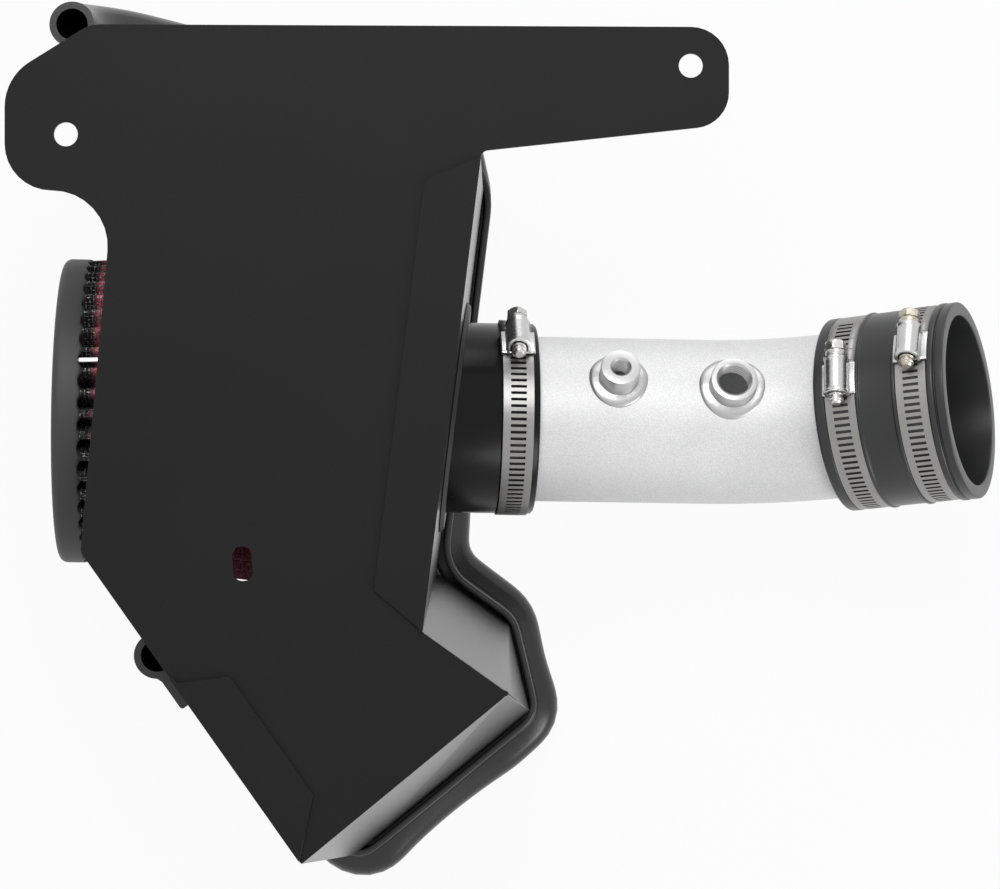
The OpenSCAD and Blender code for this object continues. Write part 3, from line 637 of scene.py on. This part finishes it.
def seal_route():
    """The seal's stations round the rims of the walls, as the part's source lays them."""
    left_dir, low_dir = unit(WRAP_END - LEFT_CORNER), unit(WRAP_CORNER - WRAP_END)
    wrap_dir, side_dir = unit(SIDE_FOOT - WRAP_CORNER), unit(UPPER_RIGHT - SIDE_FOOT)
    top_dir, top_l = unit(TOP_END - TOP_CORNER), np.linalg.norm(TOP_END - TOP_CORNER)
    upper_rim = WRAP_CORNER + right_of(wrap_dir) * FLARE_UPPER
    lower_rim = WRAP_CORNER + right_of(low_dir) * FLARE_LOWER
    rim_foot = meet(upper_rim, wrap_dir, SIDE_FOOT, side_dir)
    rim_end = meet(lower_rim, low_dir, WRAP_END, left_dir)
    left_start = WRAP_END - left_dir * LEFT_L
    side_end = SIDE_FOOT + side_dir * (np.linalg.norm(UPPER_RIGHT - SIDE_FOOT) - 3)
    up, left_in = np.array([0, 0, 1.0]), lift(left_dir, 0)
    up_low = unit(lift(-right_of(low_dir) * FLARE_LOWER, UNDER_Z - RIM_Z))
    up_wrap = unit(lift(-right_of(wrap_dir) * FLARE_UPPER, UNDER_Z - RIM_Z))
    up_facet = unit(up_low + up_wrap)
    rise_from = np.array([30, RIM_Z])
    rise_to = np.array([89.6, RIM_Z + 56.4])
    rise_top = np.array([top_l, RIM_Z + 120.2])

    def across(a, b):
        """The way into the top wall, square to its rim from a to b."""
        run, rise = b - a
        return unit(lift(-rise * top_dir, run))

    def on_top(p):
        """A point of the top wall, from (along it, height)."""
        return lift(TOP_CORNER + top_dir * p[0], p[1])

    def low(p):
        """A plane point at the height of the lower rims."""
        return lift(p, RIM_Z)

    rise_in, steep_in = across(rise_from, rise_to), across(rise_to, rise_top)
    left_top, left_low, end_low = lift(left_start, PANEL_Z - 8), low(left_start), low(rim_end)
    lower_low = low(lower_rim - low_dir * FACET_LOWER)
    upper_low = low(upper_rim + wrap_dir * FACET_UPPER)
    foot_low, side_low, top_low = low(rim_foot), low(side_end), low(TOP_CORNER)
    seal_end = on_top((top_l, rise_top[1] + 17))
    first, risen, steep, last = on_top(rise_from), on_top(rise_to), on_top(rise_top), lift(-top_dir, 0)
    # Three corners, radius, ways into the sheet, leans, steps
    return [
        (left_top, left_in, 0),
        *turn_stations(left_top, left_low, end_low, 18, (left_in, up), (0, 2.5), 10),
        *turn_stations(left_low, end_low, lower_low, 9, (up, up_low), (8, 4), 9),
        ((end_low + lower_low) / 2, up_low, 2),
        *turn_stations(end_low, lower_low, upper_low, 8, (up_low, up_facet), (6.5, 1.5), 8),
        *turn_stations(lower_low, upper_low, foot_low, 10.7, (up_facet, up_wrap), (2.6, 3), 6),
        *turn_stations(upper_low, foot_low, side_low, 23, (up_wrap, up), (3.5, 4), 10),
        (foot_low + lift(side_dir, 0) * 110, up, -6.5),
        *turn_stations(foot_low, side_low, top_low, 25, (up, up), (-8, -2), 8),
        *turn_stations(side_low, top_low, first, 12, (up, up), (3, 5), 8),
        *turn_stations(top_low, first, risen, 50, (up, rise_in), (5, 5.5), 8),
        *turn_stations(first, risen, steep, 94, (rise_in, steep_in), (7, 8.5), 6),
        *turn_stations(risen, steep, seal_end, 42, (steep_in, last), (9.5, 6), 8),
        (seal_end, last, 4),
    ]


def seal_rings():
    """Rings of the seal: stations spread evenly along the route, each with the section across it.

    Point, way into the sheet and lean are worked out every 2.5 mm along the route by straight
    lines between stations, then smoothed by a running mean, so the bulb bends as rubber does.
    """
    stations = seal_route()
    points = np.array([s[0] for s in stations])
    more = np.array([[*s[1], s[2]] for s in stations])
    far = np.concatenate([[0], np.cumsum(np.linalg.norm(np.diff(points, axis=0), axis=1))])
    at = np.linspace(0, far[-1], int(far[-1] / 2.5))
    table = np.concatenate([points, more], axis=1)
    even = np.stack([np.interp(at, far, table[:, k]) for k in range(7)], axis=1)
    window = np.array([1, 3, 4, 3, 1]) / 12
    reach = len(window) // 2
    before, after = 2 * even[:1] - even[reach:0:-1], 2 * even[-1:] - even[-2:-reach - 2:-1]
    wide = np.concatenate([before, even, after])
    even = np.stack([np.convolve(wide[:, k], window, mode="valid") for k in range(7)], axis=1)
    lean = np.convolve(np.pad(even[:, 6], 8, mode="edge"), np.ones(17) / 17, mode="valid")
    centre, into = even[:, :3], even[:, 3:6]
    along = np.gradient(centre, axis=0)
    along /= np.linalg.norm(along, axis=1, keepdims=True)
    v = into - along * np.einsum("ij,ij->i", into, along)[:, None]
    v /= np.linalg.norm(v, axis=1, keepdims=True)
    u = np.cross(along, v)
    rings = []
    for line, leans in seal_section():
        x = line[:, 0] + leans * lean[:, None]
        rings.append(centre[:, None] + u[:, None] * x[..., None] + v[:, None] * line[:, 1, None])
    return rings


def seal_section():
    """Section of the seal: the bulb and the gripping channel, and the bulb's hollow.

    Each is a line of (across, into the sheet) points, with how far each point follows the lean.
    """
    middle = -(BULB_R + GRIP_CLEAR + SEAL_WEB)
    w, s, m, foot = CHANNEL_W / 2, GRIP_SLOT / 2, -SHEET_T / 2, -GRIP_CLEAR - SEAL_WEB / 2
    a = np.radians(np.linspace(35, 325, 40))
    bulb = np.stack([BULB_R * np.sin(a), BULB_R * np.cos(a) + middle], -1)
    channel = rounded_line([(m - w, foot, 0), (m - w, CHANNEL_H, 1.2), (m - s - 0.5, CHANNEL_H, 0.5),
                            (m - s, -GRIP_CLEAR, 0), (m + s, -GRIP_CLEAR, 0),
                            (m + s + 0.5, CHANNEL_H, 0.5), (m + w, CHANNEL_H, 1.2), (m + w, foot, 0)], 3)
    b = np.linspace(0, 2 * np.pi, 32, endpoint=False)
    hollow = BULB_R - BULB_WALL
    inner = np.stack([hollow * np.sin(b), hollow * np.cos(b) + middle], -1)
    outer = np.concatenate([bulb, channel])
    return (outer, np.repeat([1.0, 0.0], [len(bulb), len(channel)])), (inner, np.ones(len(inner)))


def build_seal():
    """The seal's outer skin and its hollow, closed at both cut ends by triangles."""
    outer, inner = seal_rings()
    n, m, k = outer.shape[0], outer.shape[1], inner.shape[1]
    points = np.concatenate([outer.reshape(-1, 3), inner.reshape(-1, 3)]) + MIDDLE
    skin = grid_faces(n, m, wrap_rows=False)
    hole = grid_faces(n, k, wrap_rows=False)
    skin = outward(points, skin)
    hole = outward(points, hole + n * m)[:, ::-1]
    work = bmesh.new()
    verts = [work.verts.new(p * MM) for p in points]
    work.verts.ensure_lookup_table()
    for face in np.concatenate([skin, hole]):
        work.faces.new([verts[i] for i in face])
    for ring in (0, n - 1):
        rim = [verts[ring * m + j] for j in range(m)]
        eye = [verts[n * m + ring * k + j] for j in range(k)]
        edges = [work.edges.get((line[j], line[(j + 1) % len(line)])) for line in (rim, eye)
                 for j in range(len(line))]
        bmesh.ops.triangle_fill(work, use_beauty=True, edges=edges)
    bmesh.ops.recalc_face_normals(work, faces=work.faces)
    mesh = bpy.data.meshes.new("rubber_hood_seal")
    work.to_mesh(mesh)
    work.free()
    piece = bpy.data.objects.new("rubber_hood_seal", mesh)
    bpy.context.scene.collection.objects.link(piece)
    soften(mesh, 40)
    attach(piece, "root")
    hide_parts("hood_seal")
    dress(piece, "seal_rubber")


build_seal()


# Filter
def pleat_depth_at(phase):
    """How deep a pleat is at a phase of 0 to 1: 0 on the round ridge, 1 in the narrow valley.

    The flank is a smooth step between the ridge's edge and the valley's.
    """
    ridge, valley = 0.07, 0.45
    q = np.abs((phase + 0.5) % 1.0 - 0.5)
    k = np.clip((q - ridge) / (valley - ridge), 0, 1)
    return k * k * (3 - 2 * k) * 0.94 + 0.06 * np.clip(q / 0.3, 0, 1) ** 2


MEDIA_FROM, MEDIA_TO = CAP_T - FILTER_L, MEDIA_SEAT - BASE_T - NECK_L
CAP_FULLER = 1.9  # more than the solid has at the cap, as the photograph shows


def media_r(share):
    """Radius over the pleats' ridges; the wire mesh stands fullest toward the cap."""
    return (MEDIA_D_CAP + (MEDIA_D_BASE - MEDIA_D_CAP) * share) / 2 + CAP_FULLER * (1 - share)


def build_media():
    """Pleats round a cone: radius less the pleat's depth, from the end cap to the base.

    UV is millimetres along the fold and along the pleat, for the wire mesh.
    """
    per = 22
    phase = np.arange(PLEATS * per) / per
    angle = -(phase * 360 / PLEATS) - SEAM_A + 360
    along = np.linspace(MEDIA_FROM, MEDIA_TO, 40)
    share = (along - MEDIA_FROM) / (MEDIA_TO - MEDIA_FROM)
    radius = media_r(share)
    pleat = np.floor(phase + 0.5)
    wander = 0.35 * np.sin(share * 9)[:, None] * np.sin(pleat * 2.4)
    swell = 0.25 * np.sin(pleat * 5.1 + 1)
    depth = pleat_depth_at(phase)[None] * PLEAT_DEPTH
    ease = np.minimum(1, np.minimum(share, 1 - share) / 0.06)[:, None]
    sag = 0.3 * (1 - depth / PLEAT_DEPTH) * ease
    outer = radius[:, None] - depth - sag + wander * 0.3 * ease
    outer = np.minimum(outer, radius[:, None]) + np.minimum(0, swell * ease)
    inner = outer - MEDIA_T
    skew = angle[None] + wander * ease * 0.8
    points = [pipe_points(along[:, None], r, a) for r, a in ((outer, skew), (inner, skew))]
    rows = np.concatenate([points[0], points[1][::-1]])
    step = np.hypot(np.gradient(outer[0]), np.radians(360 / PLEATS / per) * outer[0])
    fold = np.concatenate([[0], np.cumsum(step)[:-1]])
    uv = np.stack(np.broadcast_arrays(fold[None], np.concatenate([along, along[::-1]])[:, None]), -1)
    ring_skin("pleated_media", rows, "filter_media", "filter_mesh", 60, uv.reshape(-1, 2))


def build_cap():
    """The moulded end cap: a rounded disc, with a lip that the pleats' ends sink into."""
    r = CAP_D / 2
    face = -FILTER_L
    rim = face + CAP_T
    line = rounded_line([(face + 0.5, 0.02, 0), (face + 0.5, r - 9, 2.0), (face, r - 7.5, 1.5),
                         (face, r, 3.2), (rim - 0.4, r, 0.3), (rim - 0.4, r - 3, 0.3),
                         (rim - 0.7, 0.02, 0)], 6)
    turned("moulded_end_cap", line, PIPE, "filter_end_cap", "cap_urethane", 160, smooth=40)
    per = 16
    angle = np.arange(PLEATS * per) / per
    ridge = 1 - np.clip(pleat_depth_at(angle), 0, 1)
    turn = -(angle * 360 / PLEATS) - SEAM_A
    reach = 0.35 + 1.35 * ridge
    high, inner = r - 0.02, r - 16.02
    lip = ((-1.4, high), (0.2, high), (0.75, high - 0.3), (1.0, high - 0.9), (1.0, inner), (-1.4, inner))
    ring = [pipe_points(rim + at * reach, radius, turn) for at, radius in lip]
    ring_skin("scalloped_cap_lip", np.array(ring), "filter_end_cap", "cap_urethane", 50)


def build_seam_clip():
    """The bright strip that closes the pleat pack: a flat pill, tapered round at both ends."""
    start, long, sides = MEDIA_FROM + 0.1, MEDIA_TO - MEDIA_SEAT - MEDIA_FROM - 3.1, 24
    taper = np.linspace(0, 2.5, 9)
    s = np.concatenate([taper[:-1], np.linspace(2.5, long - 2.5, 24), long - taper[-2::-1]])
    near = np.minimum(s, long - s)
    half_width = np.sqrt(np.clip(1 - (1 - np.clip(near, 0, 1)) ** 2, 1e-4, 1))
    radius = media_r((start + s - MEDIA_FROM) / (MEDIA_TO - MEDIA_FROM)) + 0.45
    a = np.linspace(0, 2 * np.pi, sides, endpoint=False)
    x = np.repeat((start + s)[:, None], sides, 1)
    side = half_width[:, None] * np.sign(np.cos(a)) * np.abs(np.cos(a)) ** 0.45
    high = 0.44 * np.sin(a) * np.abs(np.sin(a)) ** 0.1 * np.clip(near / 0.8 + 0.2, 0, 1)[:, None]
    place = PIPE.then([0, 0, 0], turn_x(-SEAM_A))
    capped_sweep("seam_clip_strip", place.at(np.stack([x, side, radius[:, None] + high], -1)),
                 "filter_seam_clip", "clip_metal", 50)


build_media()
build_cap()
build_seam_clip()


# Clamps
BAND_W, BAND_T, FIT = 12.7, 0.65, 0.05
BARREL_L, SCREW_D, HEX_AF, HEX_H, COLLAR_L = 15.6, 6.2, 8.0, 3.9, 3.2
SEAT_R, RIB_R, COUPLER_FROM, SEAT_W, THROTTLE_R, STEP_AT = 40.05, 41.35, 30.6, 12.8, 35.6, 59.8
BAND_TOP = 2 * BAND_T + FIT
# Each clamp's place, the radius its band sits on, and the radius of what stands beside the band
CLAMPS = {
    "neck": (PIPE.then([-9, 0, 0], turn_x(-49)), NECK_R, NECK_R),
    "tube": (BEND.then([42.0, 0, 0], turn_x(-4.7)), SEAT_R, RIB_R),
    "throttle": (BEND.then([72.1, 0, 0], turn_x(-19.7)), SEAT_R, RIB_R),
}


def build_coupler():
    """The rubber hose: margins, ribs that hold the bands, a bead and an end lip, softly rounded."""
    u = COUPLER_FROM
    seat1 = u + 5.0
    rib1, rib2 = seat1 + SEAT_W, seat1 + SEAT_W + 15.8
    seat2 = rib2 + 1.5
    bead = seat2 + SEAT_W
    end = bead + 7.2
    low, high, bore = SEAT_R, RIB_R, TUBE_R + 0.08
    line = [(u, bore, 0.3), (u, high - 0.5, 1.2), (seat1 - 0.4, high - 0.5, 0.7), (seat1, low, 0.2),
            (rib1, low, 0.2), (rib1 + 0.2, high, 0.5), (rib1 + 1.4, high, 0.5),
            (rib1 + 1.8, high - 0.6, 0.5), (rib2 - 0.3, high - 0.6, 0.5), (rib2 + 0.1, high, 0.5),
            (seat2 - 0.2, high, 0.5), (seat2, low, 0.2), (bead, low, 0.2), (bead + 0.2, high, 0.8),
            (bead + 2.7, high, 0.9), (bead + 3.1, high - 0.9, 0.3), (bead + 3.5, high - 0.9, 0.3),
            (bead + 3.8, high - 0.2, 0.5), (end, high - 0.2, 0.55), (end, THROTTLE_R, 0.5),
            (STEP_AT, THROTTLE_R, 0.5), (STEP_AT, bore, 0.2)]
    turned("rubber_coupler", rounded_line(line, 5), BEND, "throttle_coupler", "coupler_rubber", 160,
           smooth=40)


def build_saddle(name, place, r, beside):
    """The clamp's pressed saddle: a channel over the band, carried round the pipe's axis."""
    top = r + FIT + BAND_TOP
    leg = min(beside + 0.15, top - 0.02)
    w, t = BAND_W / 2 + 0.1, 0.75
    line = rounded_line([(-w - t, leg, 0.1), (-w - t, top + t, 0.6), (w + t, top + t, 0.6),
                         (w + t, leg, 0.1), (w, leg, 0.05), (w, top, 0.15), (-w, top, 0.15),
                         (-w, leg, 0.05)], 3)
    half = 6.6 / r
    a = np.concatenate([[-half], np.linspace(-half * 0.96, half * 0.96, 15), [half]])[:, None]
    pull = np.zeros((len(a), 1))
    pull[[0, -1]] = 0.18
    middle = line[:, 0].mean()
    x = line[:, 0] - np.sign(line[:, 0] - middle) * pull
    radius = line[:, 1] - (line[:, 1] > top + t / 2) * pull
    points = np.stack([x, radius * np.sin(a), radius * np.cos(a)], -1)
    capped_sweep(name + "_clamp_saddle", place.at(points), name + "_clamp_housing", "pressed_steel")


def build_barrel(name, place, r):
    """The arch over the screw: a bent strip carried along it, flared into a lip at each end."""
    top = r + FIT + BAND_TOP + 0.3
    axis = r + BAND_TOP + 0.25 + SCREW_D / 2
    a = np.radians(np.linspace(-90, 90, 25))
    out_r, in_r = 4.75, 3.7
    drop = axis - top
    outer = np.concatenate([[[-out_r - 0.5, -drop], [-out_r - 0.1, -drop + 0.8]],
                            np.stack([out_r * np.sin(a), out_r * np.cos(a)], -1),
                            [[out_r + 0.1, -drop + 0.8], [out_r + 0.5, -drop]]])
    inner = np.concatenate([[[in_r, -drop]],
                            np.stack([in_r * np.sin(a[::-1]), in_r * np.cos(a[::-1])], -1),
                            [[-in_r, -drop]]])
    line = np.concatenate([outer, inner])
    is_outer = np.arange(len(line)) < len(outer)
    # Distance from an end, how far the lip flares there, and how far the foot tucks in
    one_end = [(0, 0.2, 0.9), (0.12, 0.36, 0.9), (0.9, 0.36, 0.8), (1.5, 0, 0.5), (2.2, 0, 0)]
    half = BARREL_L / 2
    stations = [(at - half, lip, tuck) for at, lip, tuck in one_end] + [(0, 0.03, 0)]
    stations += [(half - at, lip, tuck) for at, lip, tuck in one_end[::-1]]
    rows = []
    for at, lip, tuck in stations:
        row = line * np.where(is_outer[:, None], 1 + lip / out_r, 1.0)
        foot = (row[:, 1] < -0.5) & is_outer
        row[foot, 0] -= np.sign(row[foot, 0]) * tuck
        rows.append(np.stack([row[:, 0], np.full(len(row), at), axis + row[:, 1]], -1))
    capped_sweep(name + "_clamp_barrel", place.at(np.array(rows)), name + "_clamp_housing",
                 "pressed_steel", 40)


def build_screw(name, place, r):
    """The worm screw: turned thread rings, a collar and a slotted hex head.

    The head's radius is the smaller of a hexagon's, apothem / cos(angle off the flat), and a cone's.
    """
    axis = r + BAND_TOP + 0.25 + SCREW_D / 2
    half, root, crest = BARREL_L / 2, SCREW_D / 2 - 0.55, SCREW_D / 2 - 0.05
    tip, pitch = -half - 4.4, 2.3
    line = [[tip, 0.02], [tip, 1.6], [tip + 0.5, 2.3]]
    for k in range(8):
        y = tip + 0.8 + k * pitch
        line += [[y, root], [y + 0.5, root], [y + 0.9, crest], [y + 1.5, crest], [y + 1.9, root]]
    neck = half + FIT
    collar = neck + COLLAR_L
    line += [[neck - 0.3, root], [neck, 3.2], [neck + 0.1, 3.9], [neck + 0.5, 4.3],
             [collar - 0.8, 4.3], [collar - 0.3, 4.0], [collar - 0.1, 3.5]]
    line = np.array(line)
    a = np.linspace(0, 2 * np.pi, 72, endpoint=False)
    hexagon = (HEX_AF / 2) / np.cos((a + np.pi / 6) % (np.pi / 3) - np.pi / 6)
    start = collar - 0.1
    end = start + HEX_H
    head = [(start, 3.5), (start + 0.05, 4.25), (start + 0.4, 4.65), (end - 0.75, 4.65),
            (end - 0.1, 3.9), (end, 3.5), (end, 0.02)]
    radii = np.concatenate([np.repeat(line[:, 1, None], len(a), 1),
                            np.array([np.minimum(hexagon, cone) for _, cone in head])])
    y = np.concatenate([line[:, 0], [at for at, _ in head]])[:, None]
    points = np.stack([radii * np.cos(a), np.repeat(y, len(a), 1), axis + radii * np.sin(a)], -1)
    finish = "screw_steel" if name == "throttle" else "bright_screw"
    screw = capped_sweep(name + "_clamp_worm", place.at(points), name + "_clamp_screw", finish, 32)

    slot_w, slot_deep = 1.3, 1.4
    square = ((-1, -1), (1, -1), (1, 1), (-1, 1))
    box = [[x * 6, y, axis + z * slot_w / 2] for y in (end - slot_deep, end + 1) for x, z in square]
    slot = cutter("screw slot", place.at(box), [(0, 3, 2, 1), (4, 5, 6, 7), (0, 1, 5, 4),
                                                (1, 2, 6, 5), (2, 3, 7, 6), (3, 0, 4, 7)])
    repair_normals(slot, 30)
    drilled(screw, [slot])


build_coupler()
for clamp, (spot, seat, ribs) in CLAMPS.items():
    build_saddle(clamp, spot, seat, ribs)
    build_barrel(clamp, spot, seat)
    build_screw(clamp, spot, seat)


# Pieces kept as they are in the source
SHEETS = ("shield_base", "tube_side_wall", "wrap_wall", "lower_left_wall", "top_wall")
for node in SHEETS:
    sheet = merged_copy(node + "_coated", node, bevel=0.4)
    dress(dress(sheet, "powder_coat"), "wall_coat")
    for face in sheet.data.polygons:
        face.material_index = int(abs(face.normal.z) < 0.9)
MADE_ANEW = {"intake_tube", "small_bung", "large_bung", "hood_seal", "filter_media",
             "filter_end_cap", "filter_seam_clip", "throttle_coupler"}
MADE_ANEW |= {clamp + part for clamp in CLAMPS for part in ("_clamp_housing", "_clamp_screw")}
for node, slot_name in SLOT_OF.items():
    if node not in SHEETS and node not in MADE_ANEW:
        dress(merged_copy(node + "_finished", node), slot_name)
    # The solids keep their own slot's look wherever they are shown
    materials = nodes[node].data.materials
    if not materials:
        materials.append(None)
    for i in range(len(materials)):
        materials[i] = MATERIALS[slot_name]


# Camera, floor and light
def white_for_the_eye(tree, lit, share=1.0):
    """Mix a lit shader with plain white where a camera, glossy or transmission ray looks."""
    wire = Wire(tree)
    camera, glossy, through = (wire.add("LightPath", out=f"Is {ray} Ray")
                               for ray in ("Camera", "Glossy", "Transmission"))
    seen = camera.larger(glossy).larger(through)
    white = tree.nodes.new("ShaderNodeEmission")
    white.inputs["Color"].default_value = (1, 1, 1, 1)
    white.inputs["Strength"].default_value = 1.0
    mix = tree.nodes.new("ShaderNodeMixShader")
    tree.links.new((seen * share).socket, mix.inputs[0])
    tree.links.new(lit, mix.inputs[1])
    tree.links.new(white.outputs[0], mix.inputs[2])
    return mix.outputs[0]


def set_world(strength):
    """An even white sky of this strength, plain white to the eye."""
    world = bpy.data.worlds.new("studio")
    bpy.context.scene.world = world
    world.use_nodes = True
    tree = world.node_tree
    tree.nodes.clear()
    soft = tree.nodes.new("ShaderNodeBackground")
    soft.inputs["Strength"].default_value = strength
    out = tree.nodes.new("ShaderNodeOutputWorld")
    tree.links.new(white_for_the_eye(tree, soft.outputs[0]), out.inputs["Surface"])


def lay_floor():
    """A pale floor under the part, white to the eye but for a trace of the part's shadow."""
    mesh = bpy.data.meshes.new("floor")
    reach = 6.0
    square = ((-1, -1), (1, -1), (1, 1), (-1, 1))
    mesh.from_pydata([(x * reach, y * reach, 0) for x, y in square], [], [(0, 1, 2, 3)])
    material = bpy.data.materials.new("white floor")
    material.use_nodes = True
    tree = material.node_tree
    tree.nodes.clear()
    lit = tree.nodes.new("ShaderNodeBsdfDiffuse")
    lit.inputs["Color"].default_value = (0.8, 0.8, 0.8, 1)
    out = tree.nodes.new("ShaderNodeOutputMaterial")
    tree.links.new(white_for_the_eye(tree, lit.outputs[0], 0.94), out.inputs["Surface"])
    mesh.materials.append(material)
    floor = bpy.data.objects.new("floor", mesh)
    bpy.context.scene.collection.objects.link(floor)
    floor.location.z = -0.0005


def lamp(name, at, aim, size, watts):
    """A square softbox at one point, turned to face another."""
    data = bpy.data.lights.new(name, "AREA")
    data.shape, data.size, data.energy = "SQUARE", size, watts
    obj = bpy.data.objects.new(name, data)
    bpy.context.scene.collection.objects.link(obj)
    obj.location = at
    way = Vector(aim) - Vector(at)
    obj.rotation_euler = way.to_track_quat("-Z", "Y").to_euler()


def set_camera():
    """Straight above the part, as the photograph was taken."""
    data = bpy.data.cameras.new("camera")
    height = 1.332
    data.lens, data.sensor_width = 104.04, 36.0
    data.clip_start, data.clip_end = 0.05, 50.0
    camera = bpy.data.objects.new("camera", data)
    bpy.context.scene.collection.objects.link(camera)
    camera.location = (MIDDLE[0] * MM, MIDDLE[1] * MM, height)
    bpy.context.scene.camera = camera


bpy.context.scene.view_settings.view_transform = "Standard"
set_camera()
set_world(0.45)
lay_floor()
lamp("key light", (-0.1, 0.8, 1.5), (0, 0, 0.1), 0.7, 11)
lamp("side light", (0.25, 1.4, 0.35), (0.05, 0, 0.1), 0.8, 4)
lamp("low light", (1.1, -0.9, 0.7), (0.05, -0.1, 0.1), 0.7, 8)
